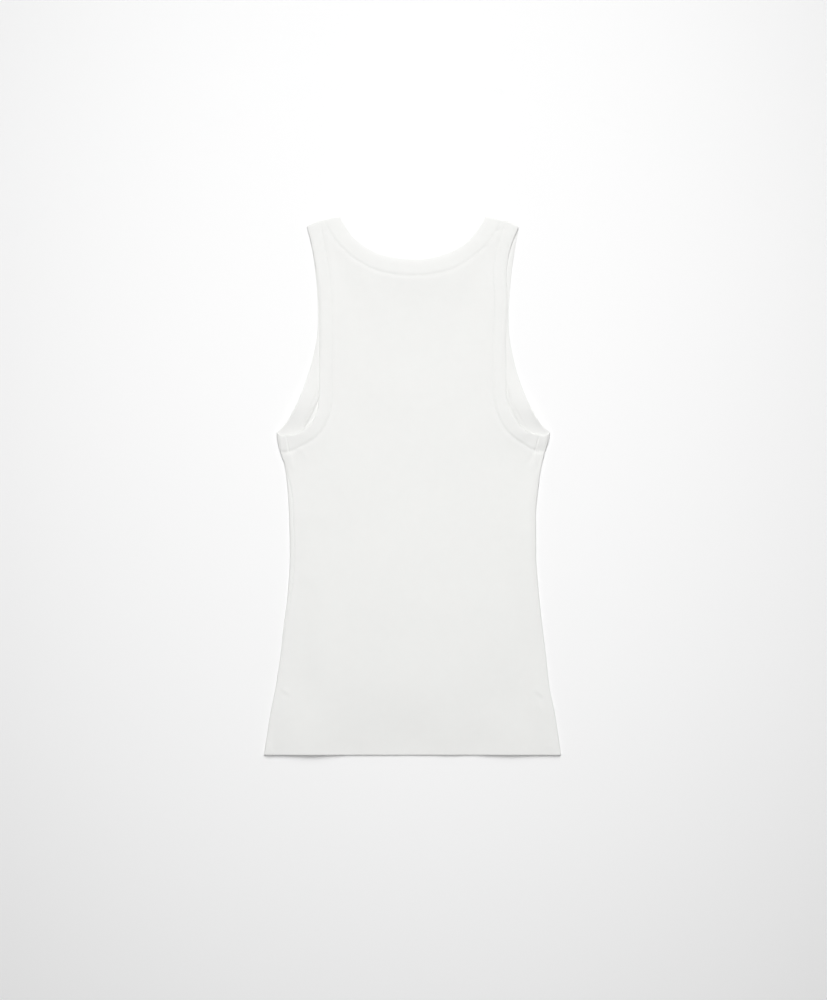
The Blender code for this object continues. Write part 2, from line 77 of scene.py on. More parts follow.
# ------------------------------------------------------------------ outline
Section = namedtuple("Section", "name y left right")
SIDE_SECTIONS = [
    Section("hem", HEM_Y, 166.3, 167.1),
    Section("above hem", -284.0, 163.4, 164.6),
    Section("low hip", -257.0, 159.2, 160.6),
    Section("hip", -223.0, 152.5, 153.8),
    Section("high hip", -190.0, 147.5, 150.1),
    Section("below waist", -156.0, 143.6, 145.9),
    Section("waist bottom", -122.0, 139.3, 142.3),
    Section("waist", -75.0, 136.6, 139.0),
    Section("waist top", -33.0, 137.6, 138.9),
    Section("midriff", 0.0, 139.5, 141.8),
    Section("bust", 22.7, 142.5, 145.1),
    Section("band seam", UNDERARM_SEAM_Y, 147.6, 148.9),
    Section("underarm", 54.0, 150.9, 153.4),
    Section("underarm tip", 60.8, 151.5, 154.5),
]

FoldPoint = namedtuple("FoldPoint", "name half y")
SHOULDER_FOLD = [
    FoldPoint("neck corner", 81.0, TOP_Y),
    FoldPoint("neckband", 89.0, 301.9),
    FoldPoint("neckband seam", 96.0, 299.4),
    FoldPoint("armhole band seam", 104.0, 297.6),
    FoldPoint("armhole band", 112.0, 294.8),
    FoldPoint("outer corner", 119.0, 291.0),
]

Armhole = namedtuple("Armhole", "strap flare power flare_from shoulder scoop_from tip roundness")
ARMHOLE = {
    ("upper", "left"): Armhole(103.8, 13.4, 2.2, 185.0, 117.2, 103.0, 56.5, 2.35),
    ("upper", "right"): Armhole(105.3, 13.9, 2.2, 230.0, 119.2, 107.0, 56.5, 2.1),
    ("lower", "left"): Armhole(105.3, 11.9, 2.2, 185.0, 117.2, 178.0, 61.3, 1.42),
    ("lower", "right"): Armhole(108.2, 11.0, 1.7, 190.7, 119.2, 178.0, 61.3, 1.48),
}
STRAP_BULGE = (1.7, 205.0, 24.0)      # the right strap of the back bows out a little

NeckPoint = namedtuple("NeckPoint", "name half y")
BACK_NECK = [
    NeckPoint("shoulder", 81.0, 300.0),
    NeckPoint("upper curve", 73.5, 287.4),
    NeckPoint("curve", 66.7, 278.6),
    NeckPoint("turn", 53.3, 267.7),
    NeckPoint("lower turn", 40.1, 260.9),
    NeckPoint("near middle", 20.4, 255.6),
    NeckPoint("middle", 0.0, 254.2),
]
FRONT_NECK = [
    NeckPoint("shoulder", 81.0, 300.0),
    NeckPoint("upper strap", 74.5, 262.0),
    NeckPoint("strap", 65.0, 229.9),
    NeckPoint("lower strap", 54.5, 196.0),
    NeckPoint("curve", 47.5, 160.0),
    NeckPoint("turn", 41.0, 132.5),
    NeckPoint("lower turn", 28.5, 115.0),
    NeckPoint("near middle", 13.4, 107.6),
    NeckPoint("middle", 0.0, 106.2),
]
NECK_SHIFT = 0.8
NECK_FOLD_WIDTH = 19.2
NECK_WIDTHS = ([0.0, 20.0, 32.0, 42.0, 52.0, 62.0, 72.0, 78.0, 84.0],
               [18.7, 18.6, 18.8, 18.3, 17.5, 17.5, 17.8, 18.9, 19.3])            # at the distance from the middle

# ------------------------------------------------------------------ how the cloth lies
HemWave = namedtuple("HemWave", "name centre half_width height reach")
HEM_WAVES = [
    HemWave("left", -112.0, 46.0, 2.4, 85.0),
    HemWave("right", 108.0, 46.0, 1.75, 75.0),
    HemWave("middle right", 42.0, 22.0, 0.5, 55.0),
]

# both layers stand a little proud of the surface round each armhole
ArmholeLift = namedtuple("ArmholeLift", "name x y height radius")
ARMHOLE_LIFTS = [
    ArmholeLift("left scoop", -134.0, 90.0, 2.3, 31.0),
    ArmholeLift("right scoop", 137.0, 88.0, 2.6, 31.0),
    ArmholeLift("left tip", -157.0, 67.0, 0.9, 16.0),
    ArmholeLift("right tip", 160.0, 68.0, 0.9, 16.0),
]

# soft ridges (height > 0) and troughs (height < 0) of the back, each a bowed
# line with its own half width; they fade out towards both ends
Crease = namedtuple("Crease", "name x0 y0 x1 y1 bow half_width height")
CREASES = [
    Crease("drag from left neck corner", -76, 252, -8, 156, 5, 10, 0.20),
    Crease("drag from right neck corner", 75, 250, 9, 158, -6, 11, 0.17),
    Crease("second drag left", -60, 214, -18, 132, 4, 13, 0.12),
    Crease("second drag right", 52, 206, 20, 140, -5, 12, 0.10),
    Crease("left hip ridge", -117, -36, -92, -288, 6, 15, 0.42),
    Crease("left hip trough", -96, -60, -70, -250, 6, 17, -0.22),
    Crease("right hip ridge", 101, -96, 118, -262, -5, 17, 0.24),
    Crease("right hip trough", 82, -120, 92, -270, -4, 16, -0.18),
    Crease("hem trough middle", -14, -240, -8, -304, 3, 26, -0.45),
    Crease("hem trough right", 70, -262, 74, -306, 2, 18, -0.25),
    Crease("left low crease", -148, -226, -137, -233, 1, 2.2, 0.34),
    Crease("left low crease hollow", -147, -232, -138, -238, 1, 2.2, -0.22),
    Crease("left corner fleck", -162, -283, -158, -303, 0.5, 3.2, 0.30),
    Crease("right low crease", 138, -225, 150, -235, -1, 2.2, 0.34),
    Crease("right low crease hollow", 137, -231, 148, -240, -1, 2.0, -0.26),
    Crease("right second crease", 138, -243, 148, -254, 1, 2.2, 0.28),
    Crease("right corner fleck", 146, -290, 160, -297, 1, 2.4, 0.26),
    Crease("left underarm streak", -136.5, 42, -132.0, 17, -1.5, 2.5, 0.50),
    Crease("left underarm hollow", -143.0, 43, -139.5, 16, -1.5, 2.8, -0.42),
    Crease("left underarm crease", -128, 47, -118, 26, 2, 2.4, 0.24),
    Crease("right underarm crease", 137, 44, 127, 22, 1.5, 2.3, -0.34),
    Crease("right underarm hollow", 142.8, 52, 140.0, 14, 1.5, 2.3, -0.42),
    Crease("right tip hollow", 152.0, 40.5, 135.0, 41.5, 0, 3.0, -0.42),
    Crease("left band edge", -164.0, 52.0, -104.0, 67.0, 0, 10.0, 0.62),
    Crease("right band edge", 167.0, 52.0, 106.0, 67.0, 0, 10.0, 0.8),
    Crease("right underarm streak", 138.5, 42, 134.5, 15, 1.0, 2.0, 0.34),
    Crease("right underarm drag", 124, 40, 110, 12, 3, 4.0, 0.16),
    Crease("left shoulder lie", -119, 281.5, -90, 285.5, 1, 2.4, -0.09),
    Crease("right shoulder lie", 121, 284.0, 88, 287.5, -1, 2.4, -0.24),
    Crease("left waist drag", -135, -44, -84, -30, 4, 7, 0.14),
    Crease("left waist drag low", -136, -92, -92, -104, -4, 8, 0.12),
    Crease("right waist drag", 137, -58, 82, -44, -4, 8, 0.15),
    Crease("right waist drag low", 139, -112, 98, -128, 4, 8, 0.12),
    Crease("left strap lie", -93, 262, -88, 170, 2, 8, 0.14),
    Crease("right strap lie", 92, 258, 90, 176, -2, 8, 0.14),
    Crease("left band pucker 1", -141, 62, -137, 47, 0, 1.8, -0.30),
    Crease("left band pucker 2", -131, 60, -129, 46, 0, 2.2, 0.20),
    Crease("left band pucker 3", -121, 68, -112, 55, 0, 2.0, -0.20),
    Crease("left band pucker 4", -113, 84, -100, 74, 0, 2.4, 0.18),
    Crease("right band pucker 1", 134, 60, 132, 45, 0, 2.0, -0.26),
    Crease("right band pucker 2", 126, 62, 122, 48, 0, 2.4, 0.22),
    Crease("right band pucker 3", 117, 72, 107, 60, 0, 2.1, -0.22),
    Crease("right band pucker 4", 112, 88, 99, 80, 0, 2.4, 0.18),
]
# shallow creases pressed into the front, which lies on the surface
FRONT_CREASES = [
    Crease("left hip", -112, -60, -86, -262, 7, 9, 0.26),
    Crease("right hip", 104, -84, 92, -268, -6, 10, 0.24),
    Crease("left bust", -118, 30, -62, -22, 5, 7, 0.22),
    Crease("right bust", 120, 26, 66, -28, -5, 7, 0.20),
    Crease("middle", 14, 40, 4, -180, 8, 12, 0.20),
    Crease("left waist", -130, -52, -70, -62, 4, 6, 0.18),
    Crease("right waist", 131, -66, 76, -72, -4, 6, 0.18),
    Crease("left neck", -66, 80, -20, 30, 4, 7, 0.16),
    Crease("right neck", 62, 84, 24, 28, -4, 7, 0.16),
]

# how far inboard of the side line the side seam lies, along the cloth
SeamShift = namedtuple("SeamShift", "name y left right")
SIDE_SEAM = [
    SeamShift("hem", HEM_Y, 0.6, -0.6),
    SeamShift("hip", -200.0, 0.9, -0.9),
    SeamShift("below waist", -140.0, 2.2, -1.0),
    SeamShift("low waist", -105.0, 5.0, -0.9),
    SeamShift("waist", -55.0, 5.6, -0.8),
    SeamShift("high waist", -10.0, 4.8, -0.8),
    SeamShift("bust", 14.0, 1.8, -0.6),
    SeamShift("underarm", UNDERARM_SEAM_Y, 0.4, -0.4),
]

# ------------------------------------------------------------------ meshing
FINE = 0.5           # working step along a curve
STATION = 2.1        # step along a seam
LATTICE = 2.3        # step inside a panel
SEAM_RINGS = (0.45, 1.0, 1.9, 3.1)
HEM_RINGS = (0.35, 0.9, 2.0)
SHOULDER_STEPS = 10
UNDERARM_STEPS = 14


# ------------------------------------------------------------------ small maths
def smoothstep(value, low, high):
    t = np.clip((value - low) / (high - low), 0.0, 1.0)
    return t * t * (3.0 - 2.0 * t)


def lerp(a, b, t):
    return a + (b - a) * t


def monotone(xs, ys):
    """Monotone cubic through the rows of a table, xs ascending; works on arrays."""
    xs, ys = np.asarray(xs, float), np.asarray(ys, float)
    h, d = np.diff(xs), np.diff(ys) / np.diff(xs)
    m = np.concatenate([[d[0]], np.zeros(len(xs) - 2), [d[-1]]])
    for i in range(1, len(xs) - 1):
        if d[i - 1] * d[i] > 0:
            w1, w2 = 2 * h[i] + h[i - 1], h[i] + 2 * h[i - 1]
            m[i] = (w1 + w2) / (w1 / d[i - 1] + w2 / d[i])

    def value(x):
        x = np.clip(np.asarray(x, float), xs[0], xs[-1])
        i = np.clip(np.searchsorted(xs, x, side="right") - 1, 0, len(xs) - 2)
        t = (x - xs[i]) / h[i]
        return ((1 + 2 * t) * (1 - t) ** 2 * ys[i] + t * (1 - t) ** 2 * h[i] * m[i]
                + t * t * (3 - 2 * t) * ys[i + 1] + t * t * (t - 1) * h[i] * m[i + 1])
    return value


def through(points, steps=60):
    """Centripetal Catmull-Rom curve through points, sampled finely."""
    pts = [np.array(p, float) for p in points]
    pts = [2 * pts[0] - pts[1]] + pts + [2 * pts[-1] - pts[-2]]
    out = []
    for i in range(1, len(pts) - 2):
        p = pts[i - 1:i + 3]
        t = [0.0]
        for k in range(3):
            t.append(t[-1] + max(np.linalg.norm(p[k + 1] - p[k]), 1e-6) ** 0.5)
        for s in range(steps):
            u = lerp(t[1], t[2], s / steps)
            a = [p[k] * ((t[k + 1] - u) / (t[k + 1] - t[k])) + p[k + 1] * ((u - t[k]) / (t[k + 1] - t[k]))
                 for k in range(3)]
            b = [a[k] * ((t[k + 2] - u) / (t[k + 2] - t[k])) + a[k + 1] * ((u - t[k]) / (t[k + 2] - t[k]))
                 for k in range(2)]
            out.append(b[0] * ((t[2] - u) / (t[2] - t[1])) + b[1] * ((u - t[1]) / (t[2] - t[1])))
    out.append(pts[-2])
    return np.array(out)


def run_of(points):
    return np.concatenate([[0.0], np.cumsum(np.hypot(*np.diff(points, axis=0).T))])


def even(points, spacing):
    """The same curve with evenly spaced points."""
    run = run_of(points)
    s = np.linspace(0, run[-1], max(2, round(run[-1] / spacing)) + 1)
    return np.stack([np.interp(s, run, points[:, 0]), np.interp(s, run, points[:, 1])], 1)


def relaxed(points, passes):
    """Rounds off kinks while the two ends stay."""
    p = points.copy()
    for _ in range(passes):
        p[1:-1] += 0.25 * (p[:-2] - 2 * p[1:-1] + p[2:])
    return p


def unit(v):
    return v / np.maximum(np.linalg.norm(v, axis=-1, keepdims=True), 1e-12)


def inside(points, loop):
    """Which points lie inside a closed loop."""
    x, y = points[:, 0], points[:, 1]
    a, b = loop, np.roll(loop, -1, axis=0)
    hit = np.zeros(len(points), bool)
    for (ax, ay), (bx, by) in zip(a, b):
        if ay == by:
            continue
        m = (ay > y) != (by > y)
        hit ^= m & (x < (y - ay) / (by - ay) * (bx - ax) + ax)
    return hit


def nearest(points, path):
    """Distance from each point to the nearest point of a path."""
    out = np.empty(len(points))
    path = path.astype(np.float32)
    for i in range(0, len(points), 6000):
        p = points[i:i + 6000].astype(np.float32)
        d = (p[:, None, 0] - path[None, :, 0]) ** 2 + (p[:, None, 1] - path[None, :, 1]) ** 2
        out[i:i + 6000] = np.sqrt(d.min(1))
    return out


def to_segments(points, path):
    """Exact distance to a polyline and the run along it at the nearest place."""
    run = run_of(path)
    a, ab = path[:-1], np.diff(path, axis=0)
    length = np.maximum((ab ** 2).sum(1), 1e-12)
    best, where = np.full(len(points), 1e9), np.zeros(len(points))
    for i in range(0, len(points), 4000):
        p = points[i:i + 4000]
        t = np.clip(((p[:, None] - a) * ab).sum(-1) / length, 0, 1)
        d = ((a + ab * t[..., None] - p[:, None]) ** 2).sum(-1)
        k = d.argmin(1)
        r = np.arange(len(p))
        best[i:i + 4000] = np.sqrt(d[r, k])
        where[i:i + 4000] = run[k] + t[r, k] * np.sqrt(length[k])
    return best, where


# ------------------------------------------------------------------ the folded form
SIGN = {"left": -1.0, "right": 1.0}
_ys = [s.y for s in SIDE_SECTIONS]
_fold = {side: monotone(_ys, [getattr(s, side) for s in SIDE_SECTIONS]) for side in SIGN}
_seam = {side: monotone([s.y for s in SIDE_SEAM], [getattr(s, side) for s in SIDE_SEAM]) for side in SIGN}

# how the cloth rolls over the side fold: tight radius, then a gentle arc
SideRoll = namedtuple("SideRoll", "name y radius left_angle left_arc right_angle right_arc")
SIDE_ROLLS = [
    SideRoll("hem", HEM_Y, 0.92, 9.0, 55.0, 9.0, 55.0),
    SideRoll("low hip", -250.0, 0.95, 12.0, 60.0, 11.0, 60.0),
    SideRoll("hip", -190.0, 0.95, 12.0, 40.0, 12.0, 36.0),
    SideRoll("below waist", -140.0, 1.0, 14.0, 26.0, 18.0, 24.0),
    SideRoll("waist", -80.0, 1.0, 15.0, 20.0, 24.0, 20.0),
    SideRoll("high waist", -20.0, 1.0, 15.0, 20.0, 21.0, 20.0),
    SideRoll("bust", 15.0, 1.02, 12.5, 20.0, 14.0, 20.0),
    SideRoll("band seam", UNDERARM_SEAM_Y, 1.05, 13.5, 21.0, 12.5, 21.0),
    SideRoll("tip", 62.0, 1.0, 14.5, 21.0, 12.0, 21.0),
]


def _rolls(side):
    ys = [s.y for s in SIDE_ROLLS]
    parts = [monotone(ys, [getattr(s, key) for s in SIDE_ROLLS]) for key in ("radius", side + "_angle", side + "_arc")]
    return lambda y: np.stack([p(y) for p in parts], -1)


SIDE_ROLL = {side: _rolls(side) for side in SIGN}
_shoulder = monotone([f.half for f in SHOULDER_FOLD], [f.y for f in SHOULDER_FOLD])


def side_x(x, y):
    return np.where(np.asarray(x) < 0, _fold["left"](y), _fold["right"](y))


def turn_start(u):
    return _shoulder(np.abs(u)) - SHOULDER_R


def side_shape(x, y):
    """Radius of the tight turn, angle and radius of the gentle roll above it."""
    right = np.where(np.asarray(x) < 0, 0.0, 1.0)
    rows = lerp(SIDE_ROLL["left"](y), SIDE_ROLL["right"](y), right[..., None] if np.ndim(right) else right)
    return rows[..., 0], np.radians(rows[..., 1]), rows[..., 2]


def roll_length(x, y):
    r, th, r2 = side_shape(x, y)
    return r * (math.pi / 2 - th) + r2 * th


def roll_width(x, y):
    r, th, r2 = side_shape(x, y)
    return r * (1 - np.sin(th)) + r2 * np.sin(th)


def roll_height(x, y):
    r, th, r2 = side_shape(x, y)
    return r * (1 + np.cos(th)) + r2 * (1 - np.cos(th))


def crease_sum(x, y, table):
    x, y = np.broadcast_arrays(np.asarray(x, float), np.asarray(y, float))
    total = np.zeros(x.shape)
    for c in table:
        a, b = np.array([c.x0, c.y0], float), np.array([c.x1, c.y1], float)
        pad = 3 * c.half_width + abs(c.bow)
        lo, hi = np.minimum(a, b) - pad, np.maximum(a, b) + pad
        m = (x > lo[0]) & (x < hi[0]) & (y > lo[1]) & (y < hi[1])
        if not m.any():
            continue
        ab = b - a
        length = float(np.hypot(*ab))
        t_hat, n_hat = ab / length, np.array([-ab[1], ab[0]]) / length
        px, py = x[m] - a[0], y[m] - a[1]
        t = (px * t_hat[0] + py * t_hat[1]) / length
        side = px * n_hat[0] + py * n_hat[1] - c.bow * 4 * t * (1 - t)
        along = smoothstep(t, 0.0, 0.30) * (1 - smoothstep(t, 0.66, 1.0))
        if c.y1 < HEM_Y:                       # runs out over the hem
            along = smoothstep(t, 0.0, 0.55)
        total[m] += c.height * along * np.exp(-(side / c.half_width) ** 2)
    return total


def hem_lift(x, y):
    lift = np.zeros(np.broadcast(x, y).shape)
    for w in HEM_WAVES:
        across = np.maximum(0.0, 1.0 - np.abs((x - w.centre) / w.half_width))
        lift = lift + w.height * smoothstep(across, 0, 1) * (1 - smoothstep(y - HEM_Y, 0, w.reach))
    return lift


def armhole_lift(x, y):
    return sum(t.height * np.exp(-((x - t.x) ** 2 + (y - t.y) ** 2) / t.radius ** 2) for t in ARMHOLE_LIFTS)


def band_curl(x, y):
    """The front's armhole bands turn up along their edge where they show beyond the back's."""
    height = np.where(np.asarray(x) < 0, 1.35, 1.6)
    crest = np.where(np.asarray(x) < 0, np.interp(np.abs(x), [105.0, 127.0], [84.0, 94.0]), 87.0)
    reach = np.where(np.asarray(y) < crest, 21.0, 31.0)
    return (height * np.exp(-((y - crest) / reach) ** 2) * smoothstep(y, 58.0, 72.0)
            * FIELD.read(SKIN["turned_up"], x, y))


def lower_lift(x, y):
    """The front rises less than the back, so that the hem opens a little."""
    from_side = side_x(x, y) - np.abs(x)
    hem = hem_lift(x, y) * (0.36 + 0.64 * (1 - smoothstep(from_side, 8, 40)))
    return hem + armhole_lift(x, y) + band_curl(x, y)


def side_place(sign, w, y, depth):
    """A point at run w from the side line (down < 0 < up), depth below the outer skin."""
    r, th, r2 = side_shape(sign, y)
    s = side_x(sign, y)
    tight = r * (math.pi / 2 - th)
    a = np.clip(w, -math.pi / 2 * r, tight) / r
    b = np.clip(w - tight, 0.0, r2 * th) / r2
    over = np.maximum(w - tight - r2 * th, 0.0)
    under = np.maximum(-math.pi / 2 * r - w, 0.0)
    x = s - r * (1 - np.cos(a)) - r2 * (np.sin(th) - np.sin(th - b)) - over - under
    z = r + r * np.sin(a) + r2 * (np.cos(th - b) - np.cos(th))
    nx = np.where(b > 0, np.sin(th - b), np.cos(a))
    nz = np.where(b > 0, np.cos(th - b), np.sin(a))
    x, z = sign * (x - nx * depth), z - nz * depth
    raise_by = crease_sum(x, y, CREASES) + undulation(x, y)
    return x, z + hem_lift(x, y) + armhole_lift(x, y) + raise_by * smoothstep(w, 0.3 * tight, tight + 2.5)


class Field:
    """A height field on a square grid, read with a cubic."""

    def __init__(self, x0, x1, y0, y1, step):
        self.x0, self.y0, self.step = x0, y0, step
        self.xs, self.ys = np.arange(x0, x1 + step, step), np.arange(y0, y1 + step, step)
        gx, gy = np.meshgrid(self.xs, self.ys)
        self.points = np.stack([gx.ravel(), gy.ravel()], 1)
        self.shape = gx.shape

    def blur(self, values, sigma):
        k = int(3 * sigma / self.step) + 1
        g = np.exp(-0.5 * (np.arange(-k, k + 1) * self.step / sigma) ** 2)
        g /= g.sum()
        v = np.pad(values, k, mode="edge")
        v = sum(w * v[:, i:i + values.shape[1]] for i, w in enumerate(g))
        return sum(w * v[i:i + values.shape[0]] for i, w in enumerate(g))

    def read(self, values, x, y):
        fx = np.clip((np.asarray(x, float) - self.x0) / self.step, 1, self.shape[1] - 3.001)
        fy = np.clip((np.asarray(y, float) - self.y0) / self.step, 1, self.shape[0] - 3.001)
        ix, iy = fx.astype(int), fy.astype(int)
        tx, ty = fx - ix, fy - iy

        def weights(t):
            return (-0.5 * t + t * t - 0.5 * t ** 3, 1 - 2.5 * t * t + 1.5 * t ** 3,
                    0.5 * t + 2 * t * t - 1.5 * t ** 3, -0.5 * t * t + 0.5 * t ** 3)
        wx, wy = weights(tx), weights(ty)
        return sum(wy[j] * sum(wx[i] * values[iy + j - 1, ix + i - 1] for i in range(4)) for j in range(4))


FIELD = Field(-184, 184, -316, 316, 2.0)
_rng = np.random.RandomState(11)
_soft = FIELD.blur(_rng.standard_normal(FIELD.shape), 15.0)
_soft2 = FIELD.blur(_rng.standard_normal(FIELD.shape), 32.0)
UNDULATION = 0.055 * _soft / _soft.std() + 0.10 * _soft2 / _soft2.std()
SKIN = {}


def undulation(x, y):
    return FIELD.read(UNDULATION, x, y)


def upper_z(x, y):
    """Height of the top skin of the back."""
    height = FIELD.read(SKIN["height"], x, y)
    from_side = side_x(x, y) - np.abs(x) - roll_width(x, y)
    beside = (1 - smoothstep(from_side, 0, 30)) * (1 - smoothstep(y, 62, 95))
    height = lerp(height, roll_height(x, y), beside)
    from_top = turn_start(x) - y
    near_top = (1 - smoothstep(from_top, 0, 55)) * (np.asarray(y) > 230)
    to_fold = 1.0 - np.clip(from_top / SHOULDER_ROLL, 0.0, 1.0)
    height = lerp(height, 2 * SHOULDER_R + SHOULDER_RISE, near_top) - SHOULDER_RISE * to_fold ** 2
    raise_by = (crease_sum(x, y, CREASES) + undulation(x, y)) * (0.3 + 0.7 * smoothstep(y - HEM_Y, 0.0, 22.0))
    return height + hem_lift(x, y) + armhole_lift(x, y) + raise_by * smoothstep(from_top, 0.0, 12.0)


def place_lower(u, v, depth):
    """Developed plane of the front -> space; depth counts from the outer skin."""
    u, v, depth = np.broadcast_arrays(np.asarray(u, float), np.asarray(v, float), np.asarray(depth, float))
    sign = np.where(u < 0, -1.0, 1.0)
    r, _, _ = side_shape(sign, v)
    start = side_x(sign, v) - r
    x, y = u.copy(), v.copy()
    pressed = crease_sum(u, v, FRONT_CREASES) * smoothstep(start - np.abs(u), 2, 20)
    z = depth + lower_lift(u, v) + pressed
    m = (v < 70) & (np.abs(u) > start)
    if m.any():
        w = np.abs(u[m]) - start[m] - math.pi / 2 * r[m]
        x[m], z[m] = side_place(sign[m], w, v[m], depth[m])
    top = turn_start(u)
    m = (v > 250) & (v > top)
    if m.any():
        along = v[m] - top[m]
        turn = np.minimum(along, SHOULDER_TURN) / SHOULDER_R
        past = np.maximum(along - SHOULDER_TURN, 0.0)
        rr = SHOULDER_R - depth[m]
        y[m] = top[m] + rr * np.sin(turn) - past
        z[m] = np.where(past > 0, upper_z(u[m], top[m] - past) - depth[m], SHOULDER_R - rr * np.cos(turn))
    return np.stack([x, y, z], -1)


def place_upper(u, v, depth):
    """Developed plane of the back -> space; depth counts from the outer skin."""
    u, v, depth = np.broadcast_arrays(np.asarray(u, float), np.asarray(v, float), np.asarray(depth, float))
    sign = np.where(u < 0, -1.0, 1.0)
    start = side_x(sign, v) - roll_width(sign, v)
    x, y = u.copy(), v.copy()
    z = upper_z(u, v) - depth
    m = (v < 70) & (np.abs(u) > start)
    if m.any():
        w = roll_length(sign[m], v[m]) - (np.abs(u[m]) - start[m])
        x[m], z[m] = side_place(sign[m], w, v[m], depth[m])
    return np.stack([x, y, z], -1)


# ------------------------------------------------------------------ band routes
class Route:
    """Stations along a band: opening edge, direction to the seam, width, run."""

    def __init__(self, edge, inward, width, keep=None):
        self.edge, self.inward, self.width = edge, inward, width
        self.run = run_of(edge)
        self.keep = keep if keep is not None else np.arange(len(edge))

    def pick(self, spacing, extra=()):
        """Fewer stations, about `spacing` apart, and close together round each run in `extra`."""
        count = max(2, round(self.run[-1] / spacing))
        wanted = list(np.linspace(0, self.run[-1], count + 1))
        for s in extra:
            wanted += [s + d for d in (-1.5, -0.95, -0.5, 0.0, 0.5, 0.95, 1.5)]
        index = sorted(set(int(np.abs(self.run - w).argmin()) for w in wanted))
        index = [i for n, i in enumerate(index)
                 if n in (0, len(index) - 1) or self.run[i] - self.run[index[n - 1]] > 0.4]
        r = Route(self.edge[index], self.inward[index], self.width[index])
        r.run = self.run[index]
        return r

    def at(self, across):
        """Points `across` from the edge, the band's own width being BAND_W."""
        a = np.minimum(across, BAND_W) / BAND_W * self.width + max(across - BAND_W, 0.0)
        return self.edge + self.inward * a[:, None]

    def reversed(self):
        r = Route(self.edge[::-1], self.inward[::-1], self.width[::-1])
        r.run = self.run[::-1]
        return r


def normals_of(edge, towards):
    t = np.gradient(edge, axis=0)
    n = unit(np.stack([-t[:, 1], t[:, 0]], 1))
    flip = (n * (towards - edge)).sum(1) < 0
    n[flip] *= -1
    return n


def fold_station(side, half, width):
    """Where a band crosses the line on which the cloth starts to turn over the shoulder."""
    inner = half + width
    p = np.array([side * half, float(turn_start(half))])
    q = np.array([side * inner, float(turn_start(inner))])
    return p, q


def armhole_route(layer, side):
    a = ARMHOLE[layer, side]
    sign = SIGN[side]
    corner = float(turn_start(a.shoulder))
    ys = np.linspace(corner, a.scoop_from, 240)
    t = np.maximum(0.0, (ys - a.flare_from) / (corner - a.flare_from))
    bulge = STRAP_BULGE[0] * np.exp(-((ys - STRAP_BULGE[1]) / STRAP_BULGE[2]) ** 2)
    strap = np.stack([a.strap + a.flare * t ** a.power + (bulge if (layer, side) == ("upper", "right") else 0.0), ys], 1)
    if layer == "upper":
        inset = float(roll_width(sign, a.tip))
        inset_foot = float(roll_width(sign, UNDERARM_SEAM_Y))
    else:
        inset = float(side_shape(sign, a.tip)[0])
        inset_foot = float(side_shape(sign, UNDERARM_SEAM_Y)[0])
    tip = np.array([float(side_x(sign, a.tip)) - inset, a.tip])
    foot = np.array([float(side_x(sign, UNDERARM_SEAM_Y)) - inset_foot, UNDERARM_SEAM_Y])
    q = np.linspace(0, math.pi / 2, 400)[1:]
    c, s = np.cos(q).clip(0) ** (2 / a.roundness), np.sin(q) ** (2 / a.roundness)
    scoop = np.stack([tip[0] - (tip[0] - a.strap) * c, a.scoop_from - (a.scoop_from - a.tip) * s], 1)
    pts = relaxed(even(np.concatenate([strap, scoop]), FINE), 120)
    pts = even(pts, FINE)
    pts[:, 0] *= sign
    towards = np.stack([np.zeros(len(pts)), np.where(pts[:, 1] < 130, -20.0, pts[:, 1])], 1)
    n = relaxed(normals_of(pts, towards), 60)
    width = np.full(len(pts), BAND_W)
    to_tip = np.linalg.norm(pts - pts[-1], axis=1)
    near = 1 - smoothstep(to_tip, 0, 22)
    last = (foot - tip) * np.array([sign, 1.0])
    n = unit(n * (1 - near)[:, None] + unit(last) * near[:, None])
    width = lerp(width, np.linalg.norm(last), near)
    p, qq = fold_station(sign, a.shoulder, -BAND_W)
    near = 1 - smoothstep(np.linalg.norm(pts - pts[0], axis=1), 0, 24)
    n = unit(n * (1 - near)[:, None] + unit(qq - p) * near[:, None])
    width = lerp(width, np.linalg.norm(qq - p), near)
    pts[0] = p
    return Route(pts, n, width)


def neck_route(table):
    rows = [(-r.half + NECK_SHIFT, r.y) for r in table]
    rows += [(r.half + NECK_SHIFT, r.y) for r in reversed(table[:-1])]
    pts = relaxed(even(through(rows), FINE), 60)
    for k in (0, -1):
        pts[k, 1] = float(turn_start(pts[k, 0]))
    n = relaxed(normals_of(pts, pts + np.stack([pts[:, 0], np.full(len(pts), -60.0)], 1)), 60)
    side = np.where(pts[:, 0] < 0, -1.0, 1.0)
    width = np.interp(np.abs(pts[:, 0] - NECK_SHIFT), *NECK_WIDTHS)
    for k in (0, -1):
        p, q = fold_station(side[k], abs(pts[k, 0]), NECK_FOLD_WIDTH)
        near = 1 - smoothstep(np.linalg.norm(pts - pts[k], axis=1), 0, 28)
        n = unit(n * (1 - near)[:, None] + unit(q - p) * near[:, None])
        width = lerp(width, np.linalg.norm(q - p), near)
    return Route(pts, n, width)


fine_arm = {(layer, side): armhole_route(layer, side) for layer in ("lower", "upper") for side in SIGN}
fine_back, fine_front = neck_route(BACK_NECK), neck_route(FRONT_NECK)

# the seam that closes each armhole band into a ring lies on the back, just
# inboard of the side fold
BAND_JOIN = {"left": -140.5, "right": 142.0}
JOIN_RUN = {side: float(fine_arm["upper", side].run[np.abs(fine_arm["upper", side].edge[:, 0] - x).argmin()])
            for side, x in BAND_JOIN.items()}

arm = {}
for (_layer, _side), _route in fine_arm.items():
    arm[_layer, _side] = _route.pick(STATION, (JOIN_RUN[_side],) if _layer == "upper" else ())
back_neck, front_neck = fine_back.pick(STATION), fine_front.pick(STATION)


